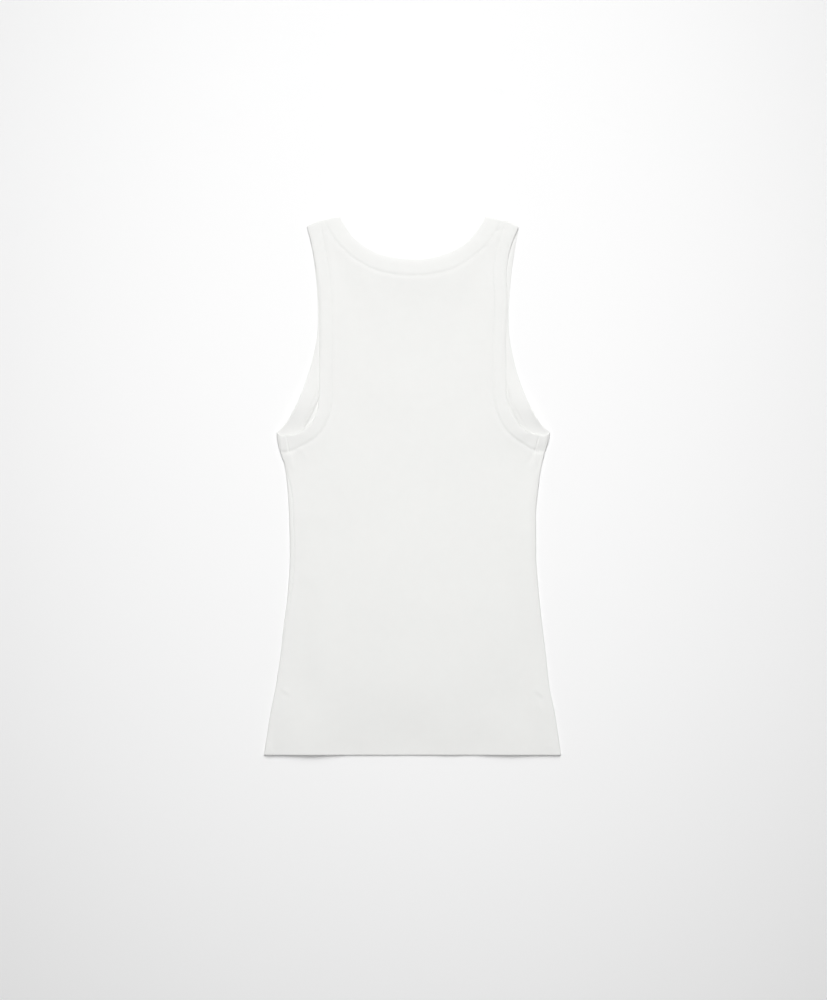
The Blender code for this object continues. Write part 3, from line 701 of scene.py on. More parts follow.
# ------------------------------------------------------------------ height of the back
def turned_up_field():
    """1 along the front's armhole edges, 0 where the back's edges begin."""
    pts = FIELD.points
    total = np.zeros(FIELD.shape)
    for s in SIGN:
        back, front = fine_arm["upper", s].edge, fine_arm["lower", s].edge
        outside = {}
        for key, edge in (("back", back), ("front", front)):
            loop = np.concatenate([edge, [[SIGN[s] * 200.0, edge[-1][1]], [SIGN[s] * 200.0, 330.0], [edge[0][0], 330.0]]])
            outside[key] = inside(pts, loop).reshape(FIELD.shape)
        to_front = nearest(pts, front[::3]).reshape(FIELD.shape)
        to_back = nearest(pts, back[::3]).reshape(FIELD.shape)
        share = (to_back / (to_front + to_back + 1e-6)) ** 2
        total = np.maximum(total, np.where(outside["front"], 1.0, np.where(outside["back"], share, 0.0)))
    return FIELD.blur(total, 1.3)


def height_field():
    pts = FIELD.points

    def closeness(routes, zone=11.0, fall=30.0):
        path = np.concatenate([r.at(BAND_W * 0.69)[::5] for r in routes])
        d = nearest(pts, path).reshape(FIELD.shape)
        return 1 - smoothstep(d, zone, fall)

    front = closeness([fine_front])
    front_arm = closeness([fine_arm["lower", s] for s in SIGN])
    back = closeness([fine_back])
    back_arm = closeness([fine_arm["upper", s] for s in SIGN])
    low, high = np.maximum(front, front_arm), np.maximum(back, back_arm)
    edge = fine_front.at(0.0)
    loop = np.concatenate([edge, [[edge[-1][0], 330.0], [edge[0][0], 330.0]]])
    hit = inside(pts, loop).reshape(FIELD.shape)
    into = nearest(pts, edge[::4]).reshape(FIELD.shape) * np.where(hit, 1.0, 0.0)
    scoop = smoothstep(into, 4.0, 48.0) * (1 - 0.35 * back)
    yy = FIELD.points[:, 1].reshape(FIELD.shape)
    swell = np.interp(yy.ravel(), [-316, -296, -262, -225, -190, -140, -60, 30, 90], [-0.36, -0.30, 0.82, 1.60, 1.65, 1.35, 0.65, 0.1, 0.0])
    xx = np.abs(FIELD.points[:, 0].reshape(FIELD.shape))
    swell = swell.reshape(FIELD.shape) * (1 - smoothstep(xx, 95, 135))
    height = PRESSED_H + 0.15 * low + 0.10 * high + 0.48 * low * high - 0.60 * scoop + swell
    height = height + 1.0 * closeness([fine_back], 6.0, 62.0) * (1 - smoothstep(xx, 45, 85))
    height = FIELD.blur(height, 5.0)
    # the band underneath prints through along its edge and its seam
    signed = nearest(pts, edge[::3]).reshape(FIELD.shape)
    seam = nearest(pts, fine_front.at(BAND_W)[::3]).reshape(FIELD.shape)
    shown = 1 - smoothstep(FIELD.points[:, 1].reshape(FIELD.shape), 200, 250)
    prints = 0.10 * np.exp(-(signed / 3.6) ** 2) + 0.11 * np.exp(-(seam / 3.4) ** 2)
    for s in SIGN:
        r = fine_arm["lower", s]
        own = nearest(pts, fine_arm["upper", s].at(0.0)[::4]).reshape(FIELD.shape)
        d = nearest(pts, r.at(BAND_W)[::3]).reshape(FIELD.shape)
        prints = prints + 0.07 * np.exp(-(d / 3.4) ** 2) * smoothstep(own, 8, 20)
    SKIN["height"] = height + FIELD.blur(prints * shown, 2.2)
    # the back's single layer inside the front's scoop, a mask for the painted shade drawn there
    SKIN["single"] = FIELD.blur(hit * smoothstep(into, 1.0, 5.0), 2.0)


SKIN["turned_up"] = turned_up_field()
height_field()


# ------------------------------------------------------------------ sections of a ring
def pucker(run, y, phase):
    """Small uneven gathers along a seam; stronger where it curves under the arm."""
    wave = (0.50 * np.sin(run / 7.3 * 2 * math.pi + 1.3 * np.sin(run / 41.0 * 2 * math.pi) + phase)
            + 0.30 * np.sin(run / 4.6 * 2 * math.pi + 0.8 + 2 * phase)
            + 0.25 * np.sin(run / 12.1 * 2 * math.pi + 2.0 - phase))
    swell = 0.65 + 0.35 * np.sin(run / 67.0 * 2 * math.pi + phase)
    return wave * swell * lerp(0.035, 0.15, 1 - smoothstep(y, 80, 150))


def drawn_in(run, y, phase):
    """Share of the full valley at a seam: faint along the straps, deep under the arms."""
    uneven = 0.84 + 0.16 * np.sin(run / 9.7 * 2 * math.pi + phase) * np.sin(run / 23.0 * 2 * math.pi + 1.0)
    armhole = np.where(np.asarray(phase) > 1.5, 1.0, 0.0)
    return uneven * (1.12 + armhole * (0.13 - 0.83 * smoothstep(y, 110.0, 190.0)))


class Ring:
    """A closed run of sections across a band, in layers, round the shoulder and round the side.

    Each section is a row of plain numbers, so that all of them are placed at once.
    """
    LOWER, UPPER, SHOULDER, SIDE = range(4)

    def __init__(self):
        self.rows = []
        self.length = 0.0
        self.joins = []

    def add_flat(self, route, kind, phase):
        start = route.run[0]
        for edge, inward, width, run, seam in zip(route.edge, route.inward, route.width, route.run, route.at(BAND_W)):
            along = self.length + abs(run - start)
            self.rows.append((kind, *edge, *inward, width, 0.0, 0.0, run, seam[1], phase, along))
        self.length += abs(route.run[-1] - start)

    def add_shoulder(self, route, end, back, phase):
        """Round the shoulder fold; `back` runs from the upper layer to the lower one."""
        steps = range(1, SHOULDER_STEPS)
        for k in (reversed(steps) if back else steps):
            along = self.length + SHOULDER_TURN * ((SHOULDER_STEPS - k) if back else k) / SHOULDER_STEPS
            self.rows.append((self.SHOULDER, *route.edge[end], *route.inward[end], route.width[end],
                              SHOULDER_TURN * k / SHOULDER_STEPS, 0.0, route.run[end], 290.0, phase, along))
        self.length += SHOULDER_TURN

    def add_underarm(self, side, phase):
        """Round the side fold, from the upper layer to the lower one."""
        sign = SIGN[side]
        low, high = ARMHOLE["lower", side].tip, ARMHOLE["upper", side].tip
        span = float(roll_length(sign, 50.0)) + math.pi / 2 * float(side_shape(sign, 50.0)[0])
        for k in range(UNDERARM_STEPS - 1, 0, -1):
            t = k / UNDERARM_STEPS
            edge_y = float(lerp(low, high, smoothstep(t, 0, 1)))
            self.rows.append((self.SIDE, sign, edge_y, 0.0, 0.0, 0.0, t, 0.0, 0.0, UNDERARM_SEAM_Y, phase,
                              self.length + span * (1 - t)))
        self.length += span

    def close(self):
        self.table = np.array(self.rows)
        self.run, self.seam_y, self.phase, self.along = self.table[:, 8:12].T

    def place(self, index, across, depth):
        """Points of sections `index` (n) at across and depth (n, k)."""
        row = self.table[index]
        kind, ex, ey, ix, iy, width, turn = row[:, :7].T[:, :, None]
        own, past = np.minimum(across, BAND_W) / BAND_W, np.maximum(across - BAND_W, 0.0)
        a = own * width + past
        px, py = ex + ix * a, ey + iy * a
        out = np.zeros(across.shape + (3,))
        for which, how in ((self.LOWER, place_lower), (self.UPPER, place_upper)):
            m = row[:, 0] == which
            if m.any():
                out[m] = how(px[m], py[m], depth[m])
        m = row[:, 0] == self.SHOULDER
        if m.any():
            out[m] = place_lower(px[m], turn_start(px[m]) + turn[m], depth[m])
        m = row[:, 0] == self.SIDE
        if m.any():
            sign, t = np.broadcast_to(ex[m], px[m].shape), turn[m]
            y = lerp(ey[m], UNDERARM_SEAM_Y, own[m]) - past[m]
            w = lerp(-math.pi / 2 * side_shape(sign, y)[0], roll_length(sign, y), t)
            x, z = side_place(sign, w, y, depth[m])
            out[m] = np.stack([x, y, z], -1)
        return out

    def groove(self, along):
        """Depth of the cross seams that close the band into a ring."""
        return sum(0.42 * np.exp(-((along - s) / 0.75) ** 2) for s in self.joins) + 0.0 * along


rings = {}
_r = Ring()
_r.add_flat(front_neck, Ring.LOWER, 0.4)
_r.add_shoulder(back_neck, -1, False, 1.1)
_r.add_flat(back_neck.reversed(), Ring.UPPER, 1.1)
_r.add_shoulder(back_neck, 0, True, 1.1)
_r.joins = [_r.length - SHOULDER_TURN - SHOULDER_SEAM_DROP]      # closed at the left shoulder seam
rings["neck"] = _r
for _side in SIGN:
    _r = Ring()
    _r.add_flat(arm["lower", _side].reversed(), Ring.LOWER, 2.3)
    _r.add_shoulder(arm["upper", _side], 0, False, 3.1 + SIGN[_side])
    _r.joins = [_r.length + JOIN_RUN[_side]]
    _r.add_flat(arm["upper", _side], Ring.UPPER, 3.1 + SIGN[_side])
    _r.add_underarm(_side, 2.3)
    rings[_side] = _r
for _r in rings.values():
    _r.close()


def band_profile():
    """(across, depth): outer face, folded edge, inner face, slot between the plies."""
    w, t, r = BAND_W, BAND_T, BAND_T / 2
    rows = [(w, 0.0), (w - 0.35, 0.0), (w - 0.8, 0.0), (w - 1.3, 0.0), (w - 1.9, 0.0), (w - 2.8, 0.0)]
    rows += [(a, 0.0) for a in (10.2, 8.6, 7.0, 5.4, 4.0, 2.9, 2.0)]
    for k in range(9):
        q = math.pi * k / 8
        rows.append((r * 0.9 * (1 - math.sin(q)) + (0.12 if k in (0, 8) else 0.0), r * (1 - math.cos(q))))
    rows += [(a, t) for a in (2.4, 4.6, 7.4, 10.2, 12.6)]
    rows += [(w, t), (w, t - PLY)]
    rows += [(9.0, t - PLY), (1.6, t - PLY), (1.15, t / 2), (1.6, PLY), (9.0, PLY), (w, PLY)]
    return np.array(rows)


def band_mesh(ring):
    prof = band_profile()
    n = len(ring.along)
    across, depth = np.broadcast_to(prof[:, 0], (n, len(prof))), np.broadcast_to(prof[:, 1], (n, len(prof)))
    run, y, phase, along = (v[:, None] for v in (ring.run, ring.seam_y, ring.phase, ring.along))
    dip = VALLEY * (1 - smoothstep(BAND_W - across, 0.0, VALLEY_HALF)) * drawn_in(run, y, phase)
    wave = pucker(run, y, phase) * (1 - smoothstep(BAND_W - across, 0.0, 9.0))
    crown = 0.10 * (1 - ((across - 7.0) / 7.0) ** 2).clip(0)
    armhole = phase > 1.5
    rounded = 0.24 * (1 - smoothstep(across, 0.0, 3.8)) * np.where(armhole, 0.15 + 0.85 * smoothstep(y, 70.0, 120.0), 1.0)
    # the straps of the back roll down along the armhole, onto the front's
    strap = ((ring.table[:, 0] == Ring.UPPER)[:, None] & armhole) * smoothstep(y, 115.0, 160.0)
    strap = strap * (1 - 0.8 * smoothstep(y, 215.0, 250.0))
    rounded = rounded + 0.28 * strap * (1 - smoothstep(across, 0.0, 1.6))
    roll = 0.44 * strap * (1 - np.clip(across / 4.5, 0.0, 1.0)) ** 2
    dip = dip + rounded - wave - crown + ring.groove(along) * smoothstep(across, 0.0, 1.5)
    # the straps of the front thin out towards the armhole, where they show beyond the back's
    below = ((ring.table[:, 0] != Ring.UPPER)[:, None] & armhole) * smoothstep(y, 150.0, 185.0)
    thinned = 0.46 * below * (1 - smoothstep(across, 0.0, 2.6)) * (2 * depth / BAND_T - 1).clip(0)
    grid = ring.place(np.arange(n), across, depth + roll - thinned + dip * (1 - 2 * depth / BAND_T).clip(0))
    return grid, np.stack([np.broadcast_to(along, across.shape), across + depth * 0.5], -1)


# ------------------------------------------------------------------ mesh building
def new_object(name, verts, faces, uv, material, attributes=None, sharp=55.0):
    """Mesh from millimetres; uv has one row per vertex, in millimetres of cloth."""
    mesh = bpy.data.meshes.new(name)
    verts = np.asarray(verts, float) * MM
    flat = [f for f in faces]
    mesh.from_pydata(verts.tolist(), [], flat)
    layer = mesh.uv_layers.new(name="UVMap")
    loops = np.empty(len(mesh.loops), np.int32)
    mesh.loops.foreach_get("vertex_index", loops)
    layer.data.foreach_set("uv", (np.asarray(uv, float)[loops] * MM * 10).ravel())
    for key, values in (attributes or {}).items():
        attr = mesh.attributes.new(key, "FLOAT", "POINT")
        attr.data.foreach_set("value", np.asarray(values, np.float32))
    mesh.materials.append(material)
    mesh.shade_smooth()
    mesh.set_sharp_from_angle(angle=math.radians(sharp))
    mesh.validate()
    obj = bpy.data.objects.new(name, mesh)
    bpy.context.scene.collection.objects.link(obj)
    return obj


def ring_object(name, grid, uv, material, attributes=None):
    """Closed tube from a grid of points: sections x profile, both cyclic."""
    n, k = grid.shape[:2]
    i, c = np.meshgrid(np.arange(n), np.arange(k), indexing="ij")
    j, d = (i + 1) % n, (c + 1) % k
    faces = np.stack([i * k + c, j * k + c, j * k + d, i * k + d], -1).reshape(-1, 4)
    verts = grid.reshape(-1, 3)
    # outward faces: the signed volume of the tube is positive
    v = verts[faces]
    vol = np.einsum("ij,ij->i", v[:, 0], np.cross(v[:, 1], v[:, 2])) + np.einsum(
        "ij,ij->i", v[:, 0], np.cross(v[:, 2], v[:, 3]))
    if vol.sum() < 0:
        faces = faces[:, ::-1]
    return new_object(name, verts, faces.tolist(), uv.reshape(-1, 2), material, attributes)


def keep_clear(points, fixed, radius):
    """The points that are at least `radius` from every fixed one."""
    tree = KDTree(len(fixed))
    for i, p in enumerate(fixed):
        tree.insert((p[0], p[1], 0.0), i)
    tree.balance()
    return np.array([p for p in points if tree.find((p[0], p[1], 0.0))[2] >= radius]).reshape(-1, 2)


def panel_object(name, outline, seams, place, flip, material):
    """A cloth wall.

    outline: closed loop in the developed plane
    seams: list of (kind, polyline, run offset, phase)
    """
    loop = np.asarray(outline)
    step = np.linalg.norm(loop - np.roll(loop, 1, axis=0), axis=1)
    loop = loop[step > 1e-3]
    fixed = loop.copy()
    n_loop = len(loop)
    sets = []
    closed = np.concatenate([loop, loop[:1]])
    tangent = unit(np.roll(loop, -1, axis=0) - np.roll(loop, 1, axis=0))
    inward = np.stack([-tangent[:, 1], tangent[:, 0]], 1)        # the loop runs counter-clockwise
    for offset in SEAM_RINGS:
        ring = loop + inward * offset
        ok = inside(ring, loop)
        ring = ring[ok]
        d, _ = to_segments(ring, closed)
        ring = ring[d > offset * 0.9]
        ring = keep_clear(ring, fixed, 0.32)
        fixed = np.concatenate([fixed, ring])
    for rows in fold_rows(place, name):
        rows = rows[inside(rows, loop)]
        d, _ = to_segments(rows, closed)
        rows = rows[d > 0.35]
        rows = keep_clear(rows, fixed, 0.45)
        fixed = np.concatenate([fixed, rows])
    xs = np.arange(-186.0, 186.0, LATTICE)
    grid = []
    for j, y in enumerate(np.arange(HEM_Y + 1.1, 320.0, LATTICE * 0.866)):
        grid.append(np.stack([xs + (LATTICE / 2 if j % 2 else 0.0), np.full(len(xs), y)], 1))
    grid = np.concatenate(grid)
    grid = grid[inside(grid, loop)]
    grid = keep_clear(grid, fixed, LATTICE * 0.58)
    pts = np.concatenate([fixed, grid])
    edges = [(i, (i + 1) % n_loop) for i in range(n_loop)]
    flat, _, tris, *_ = delaunay_2d_cdt([Vector(p) for p in pts], edges, [], 1, 1e-6)
    p = np.array([(q.x, q.y) for q in flat])
    tris = np.array(tris, np.int64)

    dip_out, dip_in, wave = np.zeros(len(p)), np.zeros(len(p)), np.zeros(len(p))
    for kind, path, run0, phase in seams:
        lo, hi = path.min(0) - 12, path.max(0) + 12
        m = np.where(((p > lo) & (p < hi)).all(1))[0]
        if not len(m):
            continue
        d, run = to_segments(p[m], path)
        run = run + run0
        if kind == "band":
            share = PANEL_VALLEY * (0.55 if phase < 1.5 else 1.0)          # the neck seam is pressed flatter
            dip_out[m] = np.maximum(dip_out[m], VALLEY * share * (1 - smoothstep(d, 0, PANEL_VALLEY_HALF)) * drawn_in(run, p[m, 1], phase))
            bump = 0.05 * (1 - smoothstep(d, 4.2, 8.5)) * smoothstep(d, 0.5, 3.0)
            gather = pucker(run, p[m, 1], phase) * np.exp(-(d / 3.6) ** 2)
            wave[m] = np.where(np.abs(wave[m]) > np.abs(gather + bump), wave[m], gather + bump)
        elif kind == "shoulder":
            deep, reach = (0.10, 7.0) if place is place_upper else (0.18, 2.2)
            dip_out[m] = np.maximum(dip_out[m], deep * (1 - smoothstep(d, 0, reach)))
        elif kind == "plain":
            dip_out[m] = np.maximum(dip_out[m], 0.34 * (1 - smoothstep(d, 0, 1.5)))
        elif kind == "hem":
            dip_out[m] = np.maximum(dip_out[m], 0.16 * (1 - smoothstep(d, 0, 0.7)))
            dip_in[m] = np.maximum(dip_in[m], 0.20 * (1 - smoothstep(d, 0, 0.7)))
    single = FIELD.read(SKIN["single"], p[:, 0], p[:, 1]) if place is place_upper else np.zeros(len(p))
    outer = place(p[:, 0], p[:, 1], dip_out - wave)
    inner = place(p[:, 0], p[:, 1], BODY_T - dip_in - wave)
    n = len(p)
    verts = np.concatenate([outer, inner])
    a, b, c = tris.T
    skin = np.stack([a, b, c], 1)
    lining = np.stack([a + n, c + n, b + n], 1)
    directed = np.concatenate([tris[:, [0, 1]], tris[:, [1, 2]], tris[:, [2, 0]]])
    key, back = directed[:, 0] * n + directed[:, 1], directed[:, 1] * n + directed[:, 0]
    rim = directed[~np.isin(key, back)]
    wall = np.stack([rim[:, 1], rim[:, 0], rim[:, 0] + n, rim[:, 1] + n], 1)
    if flip:
        skin, lining, wall = skin[:, ::-1], lining[:, ::-1], wall[:, ::-1]
    faces = skin.tolist() + lining.tolist() + wall.tolist()
    uv = np.concatenate([p, p])
    obj = new_object(name, verts, faces, uv, material, {"single": np.concatenate([single, single])})
    area = 0.5 * np.abs(np.cross(p[tris[:, 1]] - p[tris[:, 0]], p[tris[:, 2]] - p[tris[:, 0]])).sum()
    size = p.max(0) - p.min(0)
    return obj, area * 1e-6, size * MM, len(faces)


def fold_rows(place, name):
    """Rows of points that follow the side folds and the shoulder folds."""
    ys = np.arange(HEM_Y + 1.2, UNDERARM_SEAM_Y - 0.5, 2.4)
    for sign in (-1.0, 1.0):
        r, th, r2 = side_shape(sign, ys)
        tight = r * (math.pi / 2 - th)
        top = tight + r2 * th
        runs = [tight * k / 5 for k in range(6)] + [tight + (top - tight) * k / 6 for k in range(1, 7)]
        runs += [-math.pi / 2 * r * k / 6 for k in range(1, 7)]
        for w in runs:
            if place is place_lower:
                u = side_x(sign, ys) - r + w + math.pi / 2 * r
            else:
                u = side_x(sign, ys) - roll_width(sign, ys) + roll_length(sign, ys) - w
            yield np.stack([sign * u, ys], 1)
    if place is place_lower:
        us = np.arange(90.0, 112.0, 1.6)
        for sign in (-1.0, 1.0):
            for k in range(-1, SHOULDER_STEPS + 2):
                yield np.stack([sign * us, turn_start(us) + SHOULDER_TURN * k / SHOULDER_STEPS], 1)


def seam_u(layer, side, y):
    """Developed place of the side seam in each layer."""
    sign = SIGN[side]
    gap = SEAM_GAP / 2
    w = _seam[side](y)
    if layer == "lower":
        r = side_shape(sign, y)[0]
        return sign * (side_x(sign, y) - r + w - gap + math.pi / 2 * r)
    return sign * (side_x(sign, y) - roll_width(sign, y) + roll_length(sign, y) - w - gap)


def panel_outline(layer, arm_path, strap_top, neck_path):
    """Counter-clockwise: hem, right side, right armhole, strap, neck, strap, left armhole, left side."""
    ys = np.linspace(HEM_Y, UNDERARM_SEAM_Y - SEAM_GAP, round((UNDERARM_SEAM_Y - HEM_Y) / 2.2))
    sides = {side: np.stack([seam_u(layer, side, ys), ys], 1) for side in SIGN}
    hem = np.linspace(sides["left"][0], sides["right"][0], round(340 / 2.2))
    under = {}
    for side in SIGN:
        a, b = sides[side][-1], arm_path[side][0]
        under[side] = np.linspace(a, b, max(3, round(np.linalg.norm(b - a) / 1.0)) + 1)
    parts = [hem[:-1], sides["right"][:-1], under["right"][:-1], arm_path["right"], strap_top["right"], neck_path,
             strap_top["left"][::-1], arm_path["left"][::-1], under["left"][::-1][1:], sides["left"][::-1][1:-1]]
    seams = [("hem", hem, 0.0, 0.0), ("plain", sides["left"], 0.0, 0.0), ("plain", sides["right"], 0.0, 0.0)]
    seams += [("band", under[s], 0.0, 2.3) for s in SIGN]
    return np.concatenate(parts), seams


def seam_line(route):
    """The panel's side of a band seam, with the run of each point."""
    return route.at(BAND_W + SEAM_GAP), route.run


def split_at_drop(route, drop):
    """Index of the first station more than `drop` below the shoulder fold, and the point there."""
    pts, _ = seam_line(route)
    down = _shoulder(np.abs(pts[:, 0])) - pts[:, 1]
    k = int(np.argmax(down > drop))
    t = (drop - down[k - 1]) / (down[k] - down[k - 1])
    return k, lerp(pts[k - 1], pts[k], t)


def over_fold(p):
    """A point of the upper layer in the developed plane of the lower one."""
    return np.stack([p[..., 0], 2 * turn_start(p[..., 0]) + SHOULDER_TURN - p[..., 1]], -1)


def between(a, b, spacing=2.0):
    n = max(2, round(np.linalg.norm(b - a) / spacing))
    return np.linspace(a, b, n + 1)


def build_front(material):
    arm_path, strap_top, seams = {}, {}, []
    for side in SIGN:
        low, high = arm["lower", side], arm["upper", side]
        pts, run = seam_line(low)
        body = pts[1:-1][::-1]
        turn = SHOULDER_TURN * np.arange(SHOULDER_STEPS + 1) / SHOULDER_STEPS
        outer = seam_line(high)[0]
        k, cut = split_at_drop(high, SHOULDER_SEAM_DROP)
        up = np.concatenate([np.stack([np.full(len(turn), outer[0, 0]), turn_start(outer[0, 0]) + turn], 1),
                             over_fold(outer[1:k]), over_fold(cut)[None]])
        neck = back_neck if side == "left" else back_neck.reversed()
        inner = seam_line(neck)[0]
        k2, cut2 = split_at_drop(neck, SHOULDER_SEAM_DROP)
        down = np.concatenate([over_fold(cut2)[None], over_fold(inner[1:k2])[::-1],
                               np.stack([np.full(len(turn), inner[0, 0]), turn_start(inner[0, 0]) + turn[::-1]], 1)])
        top = between(up[-1], down[0])
        arm_path[side] = body
        strap_top[side] = np.concatenate([up, top[1:-1], down])
        seams.append(("band", body[::-1], float(run[1]), 2.3))
        seams.append(("band", up, 0.0, 3.1 + SIGN[side]))
        seams.append(("band", down, 0.0, 1.1))
        seams.append(("shoulder", top, 0.0, 0.0))
    pts, run = seam_line(front_neck)
    neck_path = pts[1:-1][::-1]
    seams.append(("band", pts[1:-1], float(run[1]), 0.4))
    outline, more = panel_outline("lower", arm_path, strap_top, neck_path)
    return panel_object("front_cloth", outline, seams + more, place_lower, True, material)


def build_back(material):
    arm_path, strap_top, seams = {}, {}, []
    for side in SIGN:
        high = arm["upper", side]
        pts, run = seam_line(high)
        drop = SHOULDER_SEAM_DROP + SEAM_GAP
        k, cut = split_at_drop(high, drop)
        body = np.concatenate([cut[None], pts[k:-1]])[::-1]
        neck = back_neck if side == "left" else back_neck.reversed()
        k2, cut2 = split_at_drop(neck, drop)
        top = between(cut, cut2)
        arm_path[side] = body
        strap_top[side] = top[1:-1]
        seams.append(("band", pts[k:-1], float(run[k]), 3.1 + SIGN[side]))
        seams.append(("shoulder", top, 0.0, 0.0))
    pts, run = seam_line(back_neck)
    kl, cl = split_at_drop(back_neck, SHOULDER_SEAM_DROP + SEAM_GAP)
    kr, cr = split_at_drop(back_neck.reversed(), SHOULDER_SEAM_DROP + SEAM_GAP)
    middle = pts[kl:len(pts) - kr]
    neck_path = np.concatenate([cl[None], middle, cr[None]])[::-1]
    seams.append(("band", middle, float(run[kl]), 1.1))
    outline, more = panel_outline("upper", arm_path, strap_top, neck_path)
    return panel_object("back_cloth", outline, seams + more, place_upper, False, material)


# ------------------------------------------------------------------ inside seams
def allowance_mesh(ring):
    """The overlocked allowance that lies on the inside, beside a band seam."""
    w = BAND_W + 0.25
    rows = [(0.0, 0.0), (ALLOW_W - 0.4, 0.0), (ALLOW_W, 0.22), (ALLOW_W, 0.72), (ALLOW_W - 0.4, 1.0),
            (ALLOW_W * 0.6, 1.05), (ALLOW_W * 0.25, 1.0), (0.0, 0.85)]
    prof = np.array(rows)
    along = ring.along[:, None]
    ripple = 0.25 * np.sin(along / 6.1 * 2 * math.pi) * np.sin(along / 17.0 * 2 * math.pi + 1)
    across = w + prof[:, 0] * (1 + 0.03 * ripple) + 0.15 * ripple * (prof[:, 0] > 1)
    depth = np.broadcast_to(BODY_T + 0.03 + prof[:, 1] * ALLOW_T, across.shape)
    grid = ring.place(np.arange(len(along)), across, depth)
    return grid, np.stack([np.broadcast_to(along, across.shape), across + depth], -1)


def thread_tube(points, radius, sides=5):
    """Tube of a thread along points; closed into a ring."""
    p = np.asarray(points, float)
    t = unit(np.roll(p, -1, axis=0) - np.roll(p, 1, axis=0))
    n = unit(np.cross(t, [0.13, 0.21, 0.97]))
    b = np.cross(t, n)
    q = 2 * math.pi * np.arange(sides) / sides
    return p[:, None] + radius * (np.cos(q)[None, :, None] * n[:, None] + np.sin(q)[None, :, None] * b[:, None])


def sample_ring(ring, runs, across, depth):
    """Points on a ring at any run, between its sections."""
    order = np.argsort(ring.along)
    along = ring.along[order]
    s = np.asarray(runs) % ring.length
    k = np.searchsorted(along, s, side="right") - 1
    after = (k + 1) % len(along)
    gap = (along[after] - along[k]) % ring.length
    t = np.clip(((s - along[k]) % ring.length) / np.maximum(gap, 1e-6), 0, 1)[:, None]
    a, d = np.asarray(across)[:, None], np.asarray(depth)[:, None]
    return lerp(ring.place(order[k], a, d)[:, 0], ring.place(order[after], a, d)[:, 0], t)


def overlock_threads(ring, name, material):
    """Looper thread zigzagging over the allowance and round its edge."""
    pitch = 2.5
    count = int(ring.length / pitch)
    pitch = ring.length / count
    runs, across, depth = [], [], []
    top = BODY_T + 0.03 + ALLOW_T + 0.10
    for k in range(count):
        s = k * pitch
        runs += [s, s + 0.28 * pitch, s + 0.50 * pitch, s + 0.56 * pitch, s + 0.80 * pitch]
        across += [BAND_W + 0.9, BAND_W + 3.1, BAND_W + 0.25 + ALLOW_W - 0.1, BAND_W + 0.25 + ALLOW_W + 0.05, BAND_W + 3.0]
        depth += [top, top + 0.03, top - 0.05, top - 0.45, top + 0.02]
    grid = thread_tube(sample_ring(ring, runs, across, depth), 0.11)
    uv = np.zeros(grid.shape[:2] + (2,))
    uv[..., 0] = np.array(runs)[:, None]
    return ring_object(name, grid, uv, material)


# ------------------------------------------------------------------ materials
class Nodes:
    """Small helper to write a node tree as expressions."""

    def __init__(self, tree):
        self.tree = tree

    def add(self, kind, **settings):
        node = self.tree.nodes.new(kind)
        for k, v in settings.items():
            setattr(node, k, v)
        return node

    def link(self, a, b):
        self.tree.links.new(a, b)

    def math(self, op, a, b=None, c=None, clamp=False):
        node = self.add("ShaderNodeMath", operation=op, use_clamp=clamp)
        for i, v in enumerate((a, b, c)):
            if v is None:
                continue
            if hasattr(v, "links"):
                self.link(v, node.inputs[i])
            else:
                node.inputs[i].default_value = v
        return node.outputs[0]

    def noise(self, vector, scale, detail=2.0, rough=0.5, dims="3D"):
        node = self.add("ShaderNodeTexNoise", noise_dimensions=dims)
        node.inputs["Scale"].default_value = scale
        node.inputs["Detail"].default_value = detail
        node.inputs["Roughness"].default_value = rough
        self.link(vector, node.inputs["Vector"])
        return node.outputs["Fac"]


def principled(material):
    return next(n for n in material.node_tree.nodes if n.type == "BSDF_PRINCIPLED")


